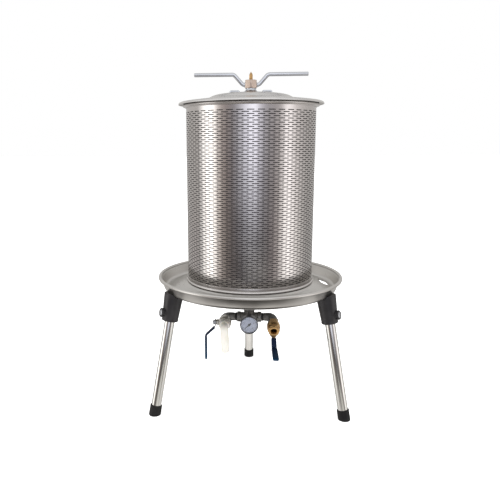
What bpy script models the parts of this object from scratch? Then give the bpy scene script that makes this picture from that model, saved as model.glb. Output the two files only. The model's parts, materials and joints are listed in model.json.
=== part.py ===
"""Water-bladder basket press for fruit.

A perforated basket stands in a juice tray on three splayed legs. A rubber bladder round a
centre tube fills with water from the manifold under the tray and presses the fruit against
the basket, while a lid and a screwed-down handle hold the top shut.

Sizes are in millimetres and MM turns them into metres. Heights are above the floor, radii are
about the press's own upright axis, and each leg, valve, knob and gauge is drawn about an
empty that stands on its own axis.
"""
import math

import bmesh
import bpy
from mathutils import Matrix, Vector

MM = 0.001
TURN = 2.0 * math.pi
GAP = 0.3                   # clearance between pieces that touch
RUNNING_GAP = 0.4           # clearance round pieces that turn

LARGE_ROUND = 36            # facets of the tray, basket and lid
MEDIUM_ROUND = 16           # facets of tubes, sockets, knobs and the gauge
SMALL_ROUND = 12            # facets of pipes, stems, balls and hexagons

# Basket, and the heights that everything else follows
BASKET_RADIUS = 165.0
BASKET_WALL = 1.2
BASKET_BOTTOM = 334.7
BASKET_TOP = 786.0
BASE_RING_RADIUS = 169.5
BASE_RING_HEIGHT = 7.0
TOP_RING_RADIUS = 174.2
TOP_RING_HEIGHT = 7.5

# Juice tray: the middle line of its sheet, from the centre hole out to the lip
TRAY_SHEET = 2.0
TRAY_SEAT = 331.0
TRAY_LINE = [(17.0, TRAY_SEAT), (168.0, TRAY_SEAT), (174.0, 327.0), (214.0, 312.4),
             (221.5, 311.2), (228.5, 315.5), (236.5, 340.0), (239.5, 343.8), (244.5, 345.5)]
OUTLET_AZIMUTH = 8.0
OUTLET_RADIUS = 203.0       # from the press's axis to the middle of the slot
OUTLET_LENGTH = 50.0
OUTLET_WIDTH = 21.0

# Lid: the middle line of its sheet, from the centre hole out to the turned-down edge
LID_SHEET = 2.0
LID_TOP = 813.0
LID_LINE = [(11.6, LID_TOP), (57.0, LID_TOP), (90.0, 809.6), (112.0, 804.0),
            (178.0, 790.8), (182.6, 788.4), (183.6, 784.6)]
LID_SEAL_INNER = 164.0
LID_SEAL_OUTER = 172.0
LID_HANDLE_INNER = 30.5
LID_HANDLE_OUTER = 52.0
LID_HANDLE_RISE = 6.6
LID_HANDLE_ROD = 2.6

# Centre tube, bladder and the flange under the tray
TUBE_RADIUS = 10.0
TUBE_BORE = 4.0
TUBE_BOTTOM = 306.0
TUBE_TOP = 847.0
WATER_PORT_HEIGHT = 400.0
WATER_PORT_RADIUS = 3.0
CLAMP_RADIUS = 50.0
LOWER_CLAMP = (332.3, 341.2)
UPPER_CLAMP = (772.8, 781.0)
BLADDER_RADIUS = 57.0
BLADDER_WALL = 4.0
FLANGE_RADIUS = 60.0
FLANGE_BOTTOM = 323.0
FLANGE_TOP = 329.7
BOSS_RADIUS = 22.0
BOSS_BOTTOM = 300.0
NECK_RADIUS = 15.0
NECK_BORE = 8.0

# Clamping handle and air vent
CONE_BOTTOM = LID_TOP + LID_SHEET / 2 + GAP
CONE_TOP = 827.0
CONE_FOOT_RADIUS = 26.5
CONE_NECK_RADIUS = 13.0
HUB_FLATS = 29.0
HUB_TOP = 848.0
ARM_RADIUS = 5.0
ARM_ROOT_HEIGHT = 836.0
ARM_HEIGHT = 861.5
ARM_BENDS = (20.0, 43.0)    # where an arm starts and stops climbing, from the axis
ARM_REACH = 144.0
ARM_BEND_RADIUS = 12.0
VENT_RADIUS = 5.0
VENT_TOP = 862.0
VENT_TIP = 868.0

# Legs
LEG_AZIMUTHS = {"rear": 90.0, "left": 210.0, "right": 330.0}
LEG_FOOT_RADIUS = 280.5
LEG_SPLAY = 10.8
LEG_TUBE_RADIUS = 13.0
LEG_TUBE_WALL = 1.5
LEG_TUBE_START = 5.0        # heights along the leg's own axis, from the floor
LEG_TUBE_END = 296.0
FOOT_RADIUS = 15.5
FOOT_LENGTH = 27.0
SOCKET_BOTTOM = 252.0
SOCKET_TOP = 340.0
SOCKET_RADII = (20.5, 25.8)
SOCKET_LIMIT = (320.0, 326.0)   # the sloping cut over the sockets outside the tray
KNOB_HEIGHT = 272.0
KNOB_RADIUS = 12.0
KNOB_START = 23.4
KNOB_END = 29.4
KNOB_SHANK = 4.0

# Water manifold
MANIFOLD_HEIGHT = 224.0
CROSS_HALF_WIDTH = 33.0
CROSS_COLLAR = 14.3
CROSS_BARREL = 12.6
CROSS_TOP = 16.5            # from the manifold's axis up to the face that takes the neck
CROSS_NOSE = 22.0
SEAL_RADIUS = 11.4
SEAL_END = 37.8
BRANCH_REACH = 64.5         # from the axis out to each valve
BRANCH_FORWARD = 32.0       # from the manifold's axis forward to each elbow's mouth
BRANCH_PIPE = 10.5
BRANCH_BORE = 8.0
BRANCH_COLLAR = 14.3
INLET_TILT = 12.0           # the inlet branch dips towards the front

# Ball valves, along the flow from the elbow's mouth
VALVE_BODY_END = 34.0
VALVE_END = 46.0
VALVE_FLATS = 28.0
VALVE_BARREL = 17.5
VALVE_BORE = 8.5
BALL_CENTRE = 19.2
BALL_RADIUS = 10.4
BALL_BORE = 6.5
STEM_BOSS_RADIUS = 8.0
STEM_BOSS_TOP = 21.5
STEM_RADIUS = 4.0
STEM_THREAD = 3.0
STEM_TOP = 32.5

# Valve levers, flat bars with a crank and a sleeve. The inlet's sleeve covers the crank too
LEVER_SHEET = 2.5
LEVER_SEAT = 24.2
LEVER_CRANK_START = 12.0
LEVER_WIDTH = 11.0
LEVER_ROOT_WIDTH = 18.0
DRAIN_LEVER_LENGTH = 101.0
DRAIN_LEVER_RISE = 25.0
INLET_LEVER_LENGTH = 86.0
INLET_LEVER_RISE = 20.5
INLET_LEVER_SKEW = 3.0      # degrees off the flow, towards the right
GRIP_WIDTH = 16.0
GRIP_THICKNESS = 6.0

# Drain spout: a hose tail that turns down
SPOUT_COLLAR = 13.0
SPOUT_BEND_START = 62.0
SPOUT_DROP = 67.0
SPOUT_RADIUS = 9.5
SPOUT_BORE = 6.5
SPOUT_LEAN = 3.0            # degrees off plumb, towards the press's axis

# Pressure gauge, forward from the manifold's nose
GAUGE_RADIUS = 24.0
GAUGE_BACK = 29.7
GAUGE_FRONT = 54.0
GAUGE_WALL = 1.8
DIAL_HEIGHT = 48.0
NEEDLE_ZERO = 224.0         # degrees, anticlockwise from the dial's right-hand side


def offset_line(line, distance):
    """The (r, z) line moved sideways by a distance, mitred at its corners."""
    points = [Vector(point) for point in line]
    normals = []
    for start, end in zip(points, points[1:]):
        along = (end - start).normalized()
        normals.append(Vector((-along.y, along.x)))
    moved = []
    for index, point in enumerate(points):
        before = normals[max(index - 1, 0)]
        after = normals[min(index, len(normals) - 1)]
        mitre = (before + after) / (1.0 + before.dot(after))
        moved.append(tuple(point + mitre * distance))
    return moved


def sheet_profile(line, thickness):
    """A closed profile: a line given an even thickness."""
    upper = offset_line(line, thickness / 2)
    lower = offset_line(line, -thickness / 2)
    return upper + lower[::-1]


def make_material(name, colour, roughness, metallic):
    material = bpy.data.materials.new(name)
    material.use_nodes = True
    shader = material.node_tree.nodes["Principled BSDF"]
    shader.inputs["Base Color"].default_value = (*colour, 1.0)
    shader.inputs["Roughness"].default_value = roughness
    shader.inputs["Metallic"].default_value = metallic
    return material


def make_axis(name, parent, location=(0.0, 0.0, 0.0), x_axis=(1, 0, 0), z_axis=(0, 0, 1)):
    """An empty that carries the pieces drawn about one axis."""
    empty = bpy.data.objects.new(name, None)
    bpy.context.collection.objects.link(empty)
    across, up = Vector(x_axis).normalized(), Vector(z_axis).normalized()
    turn = Matrix((across, up.cross(across), up)).transposed()
    empty.parent = parent
    empty.location = Vector(location) * MM
    empty.rotation_euler = turn.to_euler()
    return empty


def make_object(name, bm, parent, material):
    """Close a bmesh off into a named object."""
    bmesh.ops.recalc_face_normals(bm, faces=bm.faces)
    mesh = bpy.data.meshes.new(name)
    bm.to_mesh(mesh)
    bm.free()
    mesh.shade_smooth()
    mesh.set_sharp_from_angle(angle=math.radians(32))
    obj = bpy.data.objects.new(name, mesh)
    bpy.context.collection.objects.link(obj)
    obj.parent = parent
    if material:
        mesh.materials.append(material)
    return obj


def skin_rings(bm, rings, closed):
    """Join rings of vertices in turn. A ring of one vertex makes a fan."""
    pairs = list(zip(rings, rings[1:]))
    if closed:
        pairs.append((rings[-1], rings[0]))
    for first, second in pairs:
        count = max(len(first), len(second))
        for i in range(count):
            j = (i + 1) % count
            if len(first) == 1:
                corners = (first[0], second[j], second[i])
            elif len(second) == 1:
                corners = (first[i], first[j], second[0])
            else:
                corners = (first[i], first[j], second[j], second[i])
            bm.faces.new(corners)


def turned_ring(bm, station, segments):
    """One ring of a turned piece: round, or a hexagon where the station ends in 6."""
    radius, height = station[0], station[1]
    if radius == 0.0:
        return [bm.verts.new((0.0, 0.0, height * MM))]
    ring = []
    for k in range(segments):
        angle = TURN * k / segments
        reach = radius
        if len(station) == 3:
            from_flat = (angle + TURN / 12) % (TURN / 6) - TURN / 12
            reach = radius / math.cos(from_flat)
        ring.append(bm.verts.new((reach * math.cos(angle) * MM, reach * math.sin(angle) * MM,
                                  height * MM)))
    return ring


def turned(name, profile, parent, material, segments=MEDIUM_ROUND):
    """A solid of revolution about the parent's Z axis.

    The profile is a loop of (radius, height) stations, or starts and ends on the axis. A
    station (half across flats, height, 6) is a hexagon, and then segments divides by twelve.
    """
    bm = bmesh.new()
    rings = [turned_ring(bm, station, segments) for station in profile]
    skin_rings(bm, rings, closed=profile[0][0] > 0.0)
    return make_object(name, bm, parent, material)


def rounded_path(corners, radius, steps):
    """Stations (point, direction) along straight runs joined by arcs of one radius."""
    corners = [Vector(corner) for corner in corners]
    leave = (corners[1] - corners[0]).normalized()
    stations = [(corners[0], leave)]
    for before, corner, after in zip(corners, corners[1:], corners[2:]):
        arrive = (corner - before).normalized()
        leave = (after - corner).normalized()
        turn = arrive.angle(leave)
        normal = arrive.cross(leave).normalized()
        start = corner - arrive * radius * math.tan(turn / 2)
        centre = start + normal.cross(arrive) * radius
        for k in range(steps + 1):
            swing = Matrix.Rotation(turn * k / steps, 3, normal)
            stations.append((centre + swing @ (start - centre), swing @ arrive))
    stations.append((corners[-1], leave))
    return stations


def swept(name, stations, side, parent, material, closed=True):
    """Carry sections along a path. Each station is (point, direction, section).

    A section is a list of (across, up) offsets, across along the side vector. Closed joins
    the last ring to the first, which makes a pipe; open caps both ends.
    """
    bm = bmesh.new()
    rings = []
    across = Vector(side)
    for point, direction, section in stations:
        up = Vector(direction).cross(across)
        ring = [bm.verts.new((Vector(point) + across * u + up * v) * MM) for u, v in section]
        rings.append(ring)
    skin_rings(bm, rings, closed)
    if not closed:
        bm.faces.new(rings[0])
        bm.faces.new(rings[-1])
    return make_object(name, bm, parent, material)


def round_section(radius, segments=SMALL_ROUND):
    angles = [TURN * k / segments for k in range(segments)]
    return [(radius * math.cos(angle), radius * math.sin(angle)) for angle in angles]


def slab_section(width, thickness, chamfer):
    """A flat bar's section: a rectangle with its four corners taken off."""
    u, v = width / 2, thickness / 2
    c = chamfer
    return [(u, v - c), (u - c, v), (c - u, v), (-u, v - c),
            (-u, c - v), (c - u, -v), (u - c, -v), (u, c - v)]


def pipe(name, path, outer, bore, side, parent, material):
    """A hollow pipe: one outer radius for each station of the path, and an even bore."""
    outside = [(p, d, round_section(r)) for (p, d), r in zip(path, outer)]
    inside = [(p, d, round_section(bore)) for p, d in path[::-1]]
    return swept(name, outside + inside, side, parent, material)


def combine(target, tool, operation, solver="EXACT"):
    """Cut a target with a tool, or join the tool to it. The tool itself isn't a piece."""
    modifier = target.modifiers.new(tool.name, "BOOLEAN")
    modifier.operation = operation
    modifier.solver = solver
    modifier.object = tool
    tool.hide_render = True
    tool.display_type = "WIRE"


def rod_profile(radius, start, end):
    return [(0.0, start), (radius, start), (radius, end), (0.0, end)]


def collar_profile(inner, outer, start, end):
    return [(inner, start), (outer, start), (outer, end), (inner, end)]


def hex_collar_profile(bore, flats, start, end, chamfer):
    """A nut: a hexagon with a round hole, its corners taken off at both ends."""
    half = flats / 2
    return [(bore, start), (half - chamfer / 2, start), (half, start + chamfer, 6),
            (half, end - chamfer, 6), (half - chamfer / 2, end), (bore, end)]


def build_tray(axis, mats):
    tray = turned("juice_tray", sheet_profile(TRAY_LINE, TRAY_SHEET), axis, mats["tray_steel"],
                  LARGE_ROUND)
    angle = math.radians(OUTLET_AZIMUTH)
    outward = (math.cos(angle), math.sin(angle), 0.0)
    place = (OUTLET_RADIUS * outward[0], OUTLET_RADIUS * outward[1], 0.0)
    outlet_axis = make_axis("outlet_axis", axis, place, x_axis=outward)
    end_radius = OUTLET_WIDTH / 2
    straight = OUTLET_LENGTH / 2 - end_radius
    outline = []
    for k in range(SMALL_ROUND):
        angle = TURN * (k + 0.5) / SMALL_ROUND
        shift = math.copysign(straight, math.sin(angle))
        outline.append((end_radius * math.cos(angle), shift + end_radius * math.sin(angle)))
    stations = [((0.0, 0.0, height), (0.0, 0.0, 1.0), outline) for height in (300.0, 340.0)]
    slot = swept("outlet_slot", stations, (1.0, 0.0, 0.0), outlet_axis, None, closed=False)
    combine(tray, slot, "DIFFERENCE")
    turned("basket_gasket", collar_profile(158.0, BASE_RING_RADIUS - 0.5,
                                           TRAY_SEAT + TRAY_SHEET / 2 + GAP,
                                           BASKET_BOTTOM - GAP),
           axis, mats["seal_rubber"], LARGE_ROUND)


def build_basket(axis, mats):
    outer = BASKET_RADIUS
    inner = BASKET_RADIUS - BASKET_WALL
    turned("basket_shell", collar_profile(inner, outer, BASKET_BOTTOM, BASKET_TOP),
           axis, mats["basket_steel"], LARGE_ROUND)
    around = outer + GAP
    turned("basket_base_ring",
           [(around, BASKET_BOTTOM), (BASE_RING_RADIUS, BASKET_BOTTOM),
            (BASE_RING_RADIUS, BASKET_BOTTOM + BASE_RING_HEIGHT * 0.5),
            (around + 0.8, BASKET_BOTTOM + BASE_RING_HEIGHT),
            (around, BASKET_BOTTOM + BASE_RING_HEIGHT)],
           axis, mats["basket_steel"], LARGE_ROUND)
    low = BASKET_TOP - TOP_RING_HEIGHT
    turned("basket_top_ring",
           [(around, low), (around + 1.5, low), (TOP_RING_RADIUS - 2.5, low + 2.2),
            (TOP_RING_RADIUS, low + 4.5), (TOP_RING_RADIUS - 1.5, BASKET_TOP),
            (around, BASKET_TOP)],
           axis, mats["basket_steel"], LARGE_ROUND)


def build_lid(axis, mats):
    turned("lid", sheet_profile(LID_LINE, LID_SHEET), axis, mats["lid_steel"], LARGE_ROUND)
    (r0, z0), (r1, z1) = LID_LINE[3], LID_LINE[4]
    slope = (z1 - z0) / (r1 - r0)
    under = z0 - LID_SHEET / 2 * math.hypot(1.0, slope) - GAP
    turned("lid_gasket",
           [(LID_SEAL_INNER, BASKET_TOP + GAP), (LID_SEAL_OUTER, BASKET_TOP + GAP),
            (LID_SEAL_OUTER, under + (LID_SEAL_OUTER - r0) * slope),
            (LID_SEAL_INNER, under + (LID_SEAL_INNER - r0) * slope)],
           axis, mats["seal_rubber"], LARGE_ROUND)
    foot = LID_TOP + LID_SHEET / 2 + GAP
    rod = round_section(LID_HANDLE_ROD)
    for name, side in (("left", -1.0), ("right", 1.0)):
        corners = [(side * LID_HANDLE_INNER, 0.0, foot),
                   (side * LID_HANDLE_INNER, 0.0, foot + LID_HANDLE_RISE),
                   (side * LID_HANDLE_OUTER, 0.0, foot + LID_HANDLE_RISE),
                   (side * LID_HANDLE_OUTER, 0.0, foot)]
        stations = [(p, d, rod) for p, d in rounded_path(corners, LID_HANDLE_ROD + 0.4, 3)]
        swept("lid_handle_" + name, stations, (0.0, 1.0, 0.0), axis, mats["handle_steel"],
              closed=False)


def build_centre(axis, mats):
    """Everything that stands on the press's axis, from the neck pipe up to the vent."""
    turned("neck_pipe",
           [(NECK_BORE, MANIFOLD_HEIGHT + CROSS_TOP + GAP),
            (NECK_RADIUS - 1.0, MANIFOLD_HEIGHT + CROSS_TOP + GAP),
            (NECK_RADIUS, MANIFOLD_HEIGHT + CROSS_TOP + 1.5),
            (NECK_RADIUS, BOSS_BOTTOM - GAP), (NECK_BORE, BOSS_BOTTOM - GAP)],
           axis, mats["fitting_iron"], SMALL_ROUND)
    bore = TUBE_RADIUS + RUNNING_GAP
    turned("base_flange",
           [(bore, BOSS_BOTTOM), (BOSS_RADIUS, BOSS_BOTTOM), (BOSS_RADIUS, FLANGE_BOTTOM),
            (FLANGE_RADIUS, FLANGE_BOTTOM), (FLANGE_RADIUS, FLANGE_TOP), (bore, FLANGE_TOP)],
           axis, mats["base_steel"])
    tube = turned("centre_tube",
                  collar_profile(TUBE_BORE, TUBE_RADIUS, TUBE_BOTTOM, TUBE_TOP),
                  axis, mats["tube_steel"])
    port_axis = make_axis("water_port_axis", axis, (0.0, 0.0, WATER_PORT_HEIGHT),
                          x_axis=(0, 1, 0), z_axis=(1, 0, 0))
    port = turned("water_port", rod_profile(WATER_PORT_RADIUS, -15.0, 15.0), port_axis, None,
                  SMALL_ROUND)
    combine(tube, port, "DIFFERENCE")
    for name, (low, high) in (("lower", LOWER_CLAMP), ("upper", UPPER_CLAMP)):
        turned("bladder_%s_clamp" % name,
               [(bore, low), (CLAMP_RADIUS - 1.5, low), (CLAMP_RADIUS, low + 1.5),
                (CLAMP_RADIUS, high - 1.5), (CLAMP_RADIUS - 1.5, high), (bore, high)],
               axis, mats["base_steel"])
    low, high = LOWER_CLAMP[1] + GAP, UPPER_CLAMP[0] - GAP
    neck, bulge = CLAMP_RADIUS - 2.0, BLADDER_RADIUS
    outer = [(neck, low), (bulge - 2.5, low + 4.0), (bulge, low + 14.0), (bulge, high - 14.0),
             (bulge - 2.5, high - 4.0), (neck, high)]
    inner = [(r - BLADDER_WALL, z) for r, z in reversed(outer)]
    turned("bladder", outer + inner, axis, mats["bladder_rubber"])


def build_handle(axis, mats):
    bore = TUBE_RADIUS + RUNNING_GAP
    turned("thrust_cone",
           [(bore, CONE_BOTTOM), (CONE_FOOT_RADIUS, CONE_BOTTOM),
            (CONE_FOOT_RADIUS, CONE_BOTTOM + 1.5), (CONE_NECK_RADIUS + 4.0, CONE_BOTTOM + 5.5),
            (CONE_NECK_RADIUS, CONE_TOP), (bore, CONE_TOP)],
           axis, mats["handle_steel"])
    turned("handle_hub", hex_collar_profile(bore, HUB_FLATS, CONE_TOP + GAP, HUB_TOP, 1.4),
           axis, mats["hub_bronze"], SMALL_ROUND)
    rod = round_section(ARM_RADIUS)
    root = HUB_FLATS / 2 + GAP
    for name, side in (("left", -1.0), ("right", 1.0)):
        corners = [(side * root, 0.0, ARM_ROOT_HEIGHT),
                   (side * ARM_BENDS[0], 0.0, ARM_ROOT_HEIGHT),
                   (side * ARM_BENDS[1], 0.0, ARM_HEIGHT),
                   (side * ARM_REACH, 0.0, ARM_HEIGHT)]
        path = rounded_path(corners, ARM_BEND_RADIUS, 5)
        stations = [(p, d, rod) for p, d in path]
        swept("handle_arm_" + name, stations, (0.0, 1.0, 0.0), axis, mats["handle_steel"],
              closed=False)


def build_vent(axis, mats):
    spigot = TUBE_BORE - GAP
    seat = TUBE_TOP + GAP
    hole = 2.2
    turned("vent_body",
           [(0.0, seat - 7.0), (spigot, seat - 7.0), (spigot, seat), (VENT_RADIUS, seat),
            (VENT_RADIUS, seat + 3.0), (VENT_RADIUS - 0.6, seat + 4.0, 6),
            (VENT_RADIUS - 0.6, VENT_TOP - 1.0, 6), (VENT_RADIUS - 1.2, VENT_TOP),
            (hole, VENT_TOP), (hole, VENT_TOP - 8.0), (0.0, VENT_TOP - 8.0)],
           axis, mats["brass"], SMALL_ROUND)
    head = VENT_TOP + GAP
    turned("vent_screw",
           [(0.0, VENT_TOP - 7.0), (hole - GAP, VENT_TOP - 7.0), (hole - GAP, head),
            (3.4, head), (3.4, head + 1.8), (1.8, head + 2.8), (0.9, VENT_TIP),
            (0.0, VENT_TIP)],
           axis, mats["brass"], SMALL_ROUND)


def lower_onto_floor(cap, slope):
    """Slant the bottom of a foot cap, drawn square to its leg, so that it lies flat."""
    for vertex in cap.data.vertices:
        if abs(vertex.co.z) < 0.01 * MM:
            vertex.co.z = -vertex.co.x * slope


def build_leg(name, azimuth, axis, mats, tray_envelope):
    around = math.radians(azimuth)
    splay = math.radians(LEG_SPLAY)
    outward = Vector((math.cos(around), math.sin(around), 0.0))
    up = Vector((0.0, 0.0, 1.0))
    leg_axis = make_axis("leg_axis_" + name, axis, outward * LEG_FOOT_RADIUS,
                         x_axis=outward * math.cos(splay) + up * math.sin(splay),
                         z_axis=up * math.cos(splay) - outward * math.sin(splay))
    inner = LEG_TUBE_RADIUS - LEG_TUBE_WALL
    turned("leg_tube_" + name,
           collar_profile(inner, LEG_TUBE_RADIUS, LEG_TUBE_START, LEG_TUBE_END),
           leg_axis, mats["leg_steel"])

    mouth = LEG_TUBE_RADIUS + GAP
    floor = LEG_TUBE_START - GAP
    cap = turned("foot_cap_" + name,
                 [(0.0, floor), (mouth, floor), (mouth, FOOT_LENGTH),
                  (FOOT_RADIUS - 0.8, FOOT_LENGTH), (FOOT_RADIUS, FOOT_LENGTH - 1.0),
                  (FOOT_RADIUS, 0.0), (0.0, 0.0)],
                 leg_axis, mats["foot_rubber"])
    lower_onto_floor(cap, math.tan(splay))

    bottom_radius, top_radius = SOCKET_RADII
    socket = turned("leg_socket_" + name,
                    [(0.0, LEG_TUBE_END + GAP), (mouth, LEG_TUBE_END + GAP),
                     (mouth, SOCKET_BOTTOM), (bottom_radius - 1.2, SOCKET_BOTTOM),
                     (bottom_radius, SOCKET_BOTTOM + 1.5), (top_radius, SOCKET_TOP),
                     (0.0, SOCKET_TOP)],
                    leg_axis, mats["black_plastic"])
    combine(socket, tray_envelope, "DIFFERENCE")
    knob_axis = make_axis("knob_axis_" + name, leg_axis, (0.0, 0.0, KNOB_HEIGHT),
                          x_axis=(0, 0, -1), z_axis=(1, 0, 0))
    hole = turned("knob_hole_" + name, rod_profile(KNOB_SHANK + RUNNING_GAP, 8.0, 30.0),
                  knob_axis, None, SMALL_ROUND)
    combine(socket, hole, "DIFFERENCE")
    turned("leg_knob_" + name,
           [(0.0, LEG_TUBE_RADIUS + RUNNING_GAP), (KNOB_SHANK, LEG_TUBE_RADIUS + RUNNING_GAP),
            (KNOB_SHANK, KNOB_START), (KNOB_RADIUS - 1.0, KNOB_START),
            (KNOB_RADIUS, KNOB_START + 1.0), (KNOB_RADIUS, KNOB_END - 2.5),
            (KNOB_RADIUS - 2.5, KNOB_END), (0.0, KNOB_END)],
           knob_axis, mats["black_plastic"])


def build_legs(axis, mats):
    """Three legs. The sockets are cut back from a solid that fills the tray's outside."""
    under = offset_line(TRAY_LINE, -(TRAY_SHEET / 2 + GAP))
    inner = under[0][0]
    low, high = SOCKET_LIMIT
    profile = under[:6] + [(231.5, low), (300.0, high), (300.0, 400.0), (inner, 400.0)]
    envelope = turned("tray_envelope", profile, axis, None, LARGE_ROUND)
    for name, azimuth in LEG_AZIMUTHS.items():
        build_leg(name, azimuth, axis, mats, envelope)


def build_cross(manifold, mats):
    """The five-way body: neck above, a branch each side, the gauge in front."""
    half, collar, barrel = CROSS_HALF_WIDTH, CROSS_COLLAR, CROSS_BARREL
    side_axis = make_axis("cross_side_axis", manifold, x_axis=(0, 0, -1), z_axis=(1, 0, 0))
    nose_axis = make_axis("cross_nose_axis", manifold, x_axis=(1, 0, 0), z_axis=(0, -1, 0))
    inside = half - 10.0
    cross = turned("water_cross",
                   [(0.0, -half), (collar, -half), (collar, -inside), (barrel, 1.0 - inside),
                    (barrel, inside - 1.0), (collar, inside), (collar, half), (0.0, half)],
                   side_axis, mats["fitting_iron"], SMALL_ROUND)
    post = turned("cross_post",
                  [(0.0, -1.0), (barrel - 0.6, -1.0), (barrel - 0.6, CROSS_TOP - 5.0),
                   (collar, CROSS_TOP - 4.0), (collar, CROSS_TOP), (0.0, CROSS_TOP)],
                  manifold, None, MEDIUM_ROUND)
    nose = turned("cross_nose", rod_profile(barrel - 1.6, -1.5, CROSS_NOSE), nose_axis, None,
                  MEDIUM_ROUND)
    combine(cross, post, "UNION", "MANIFOLD")
    combine(cross, nose, "UNION", "MANIFOLD")
    bores = (("cross_side_bore", side_axis, BRANCH_BORE, -half - 5.0, half + 5.0),
             ("cross_neck_bore", manifold, NECK_BORE - 1.0, 2.0, CROSS_TOP + 5.0),
             ("cross_nose_bore", nose_axis, 4.0, 3.0, CROSS_NOSE + 5.0))
    for name, about, radius, start, end in bores:
        bore = turned(name, rod_profile(radius, start, end), about, None, SMALL_ROUND)
        combine(cross, bore, "DIFFERENCE", "MANIFOLD")
    seals = (("seal_ring_left", -SEAL_END, -half - GAP), ("seal_ring_right", half + GAP, SEAL_END))
    for name, start, end in seals:
        turned(name, collar_profile(BRANCH_BORE, SEAL_RADIUS, start, end), side_axis,
               mats["seal_rubber"], SMALL_ROUND)


def build_elbow(name, side, branch, mats):
    """A street elbow: in along the manifold, out towards the front."""
    collar_length = 11.0
    corners = [(side * (SEAL_END + GAP), 0.0, 0.0), (side * BRANCH_REACH, 0.0, 0.0),
               (side * BRANCH_REACH, collar_length - BRANCH_FORWARD, 0.0)]
    path = rounded_path(corners, 14.0, 5)
    collar_start, ahead = path[-1]
    mouth = collar_start + ahead * collar_length
    outer = [BRANCH_PIPE] + [BRANCH_PIPE + 1.2] * (len(path) - 1)
    path += [(collar_start, ahead), (mouth, ahead)]
    outer += [BRANCH_COLLAR, BRANCH_COLLAR]
    pipe(name, path, outer, BRANCH_BORE, (0.0, 0.0, 1.0), branch, mats["fitting_iron"])


def build_valve(prefix, branch, side, stem_direction, mats, metal):
    """A ball valve whose flow runs to the front. Returns the empty its pieces stand on."""
    flow = (0.0, -1.0, 0.0)
    mouth = (side * BRANCH_REACH, -BRANCH_FORWARD - GAP, 0.0)
    valve = make_axis(prefix + "_valve_axis", branch, mouth, x_axis=stem_direction, z_axis=flow)
    half = VALVE_FLATS / 2
    cavity = BALL_RADIUS + 0.5
    spigot = cavity + 1.0
    cavity_start, cavity_end = BALL_CENTRE - 9.7, BALL_CENTRE + 9.7
    body = turned(prefix + "_valve_body",
                  [(VALVE_BORE, 0.0), (half - 1.0, 0.0), (half, 1.0, 6), (half, 8.5, 6),
                   (half - 1.0, 9.5), (VALVE_BARREL, 12.0), (VALVE_BARREL, 27.0),
                   (VALVE_BARREL - 2.2, 30.5), (VALVE_BARREL - 2.2, VALVE_BODY_END),
                   (spigot + GAP, VALVE_BODY_END), (spigot + GAP, cavity_end),
                   (cavity, cavity_end), (cavity, cavity_start), (VALVE_BORE, cavity_start)],
                  valve, metal, SMALL_ROUND)
    start = VALVE_BODY_END + GAP
    turned(prefix + "_valve_end",
           [(VALVE_BORE - 1.0, cavity_end + GAP), (spigot, cavity_end + GAP), (spigot, start),
            (half, start), (half + 0.4, start + 1.0, 6), (half + 0.4, VALVE_END - 4.0, 6),
            (half, VALVE_END - 3.0), (half, VALVE_END), (VALVE_BORE, VALVE_END),
            (VALVE_BORE, start + 1.5), (VALVE_BORE - 1.0, start + 1.5)],
           valve, metal, SMALL_ROUND)
    boss_axis = make_axis(prefix + "_boss_axis", valve, (0.0, 0.0, BALL_CENTRE),
                          x_axis=(0, 0, -1), z_axis=(1, 0, 0))
    boss = turned(prefix + "_stem_boss",
                  rod_profile(STEM_BOSS_RADIUS, cavity + 1.6, STEM_BOSS_TOP), boss_axis, None,
                  SMALL_ROUND)
    hole = turned(prefix + "_stem_hole",
                  rod_profile(STEM_RADIUS + RUNNING_GAP, cavity - 2.0, STEM_BOSS_TOP + 4.0),
                  boss_axis, None, SMALL_ROUND)
    combine(body, boss, "UNION")
    combine(body, hole, "DIFFERENCE")
    return valve


def build_stem(prefix, valve, lever_direction, mats, metal):
    """The ball and its stem. Returns the empty that the lever stands on, X along the lever."""
    stem_axis = make_axis(prefix + "_stem_axis", valve, (0.0, 0.0, BALL_CENTRE),
                          x_axis=lever_direction, z_axis=(1, 0, 0))
    ball_axis = make_axis(prefix + "_ball_axis", stem_axis, x_axis=(0, 0, -1), z_axis=(1, 0, 0))
    start = math.asin(BALL_BORE / BALL_RADIUS)
    steps = 7
    ball = []
    for k in range(steps + 1):
        angle = start + (math.pi - 2.0 * start) * k / steps
        ball.append((BALL_RADIUS * math.sin(angle), -BALL_RADIUS * math.cos(angle)))
    turned(prefix + "_valve_ball", ball, ball_axis, mats["ball_chrome"], SMALL_ROUND)
    turned(prefix + "_valve_stem",
           [(0.0, BALL_RADIUS + 0.6), (STEM_RADIUS, BALL_RADIUS + 0.6),
            (STEM_RADIUS, STEM_BOSS_TOP + GAP), (6.5, STEM_BOSS_TOP + GAP),
            (6.5, LEVER_SEAT - GAP), (STEM_THREAD, LEVER_SEAT - GAP),
            (STEM_THREAD, STEM_TOP), (0.0, STEM_TOP)],
           stem_axis, metal, SMALL_ROUND)
    seat = LEVER_SEAT + LEVER_SHEET + GAP
    turned(prefix + "_lever_nut",
           hex_collar_profile(STEM_THREAD + RUNNING_GAP, 10.0, seat, seat + 4.2, 0.6),
           stem_axis, mats["lever_steel"], SMALL_ROUND)
    return stem_axis


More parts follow.
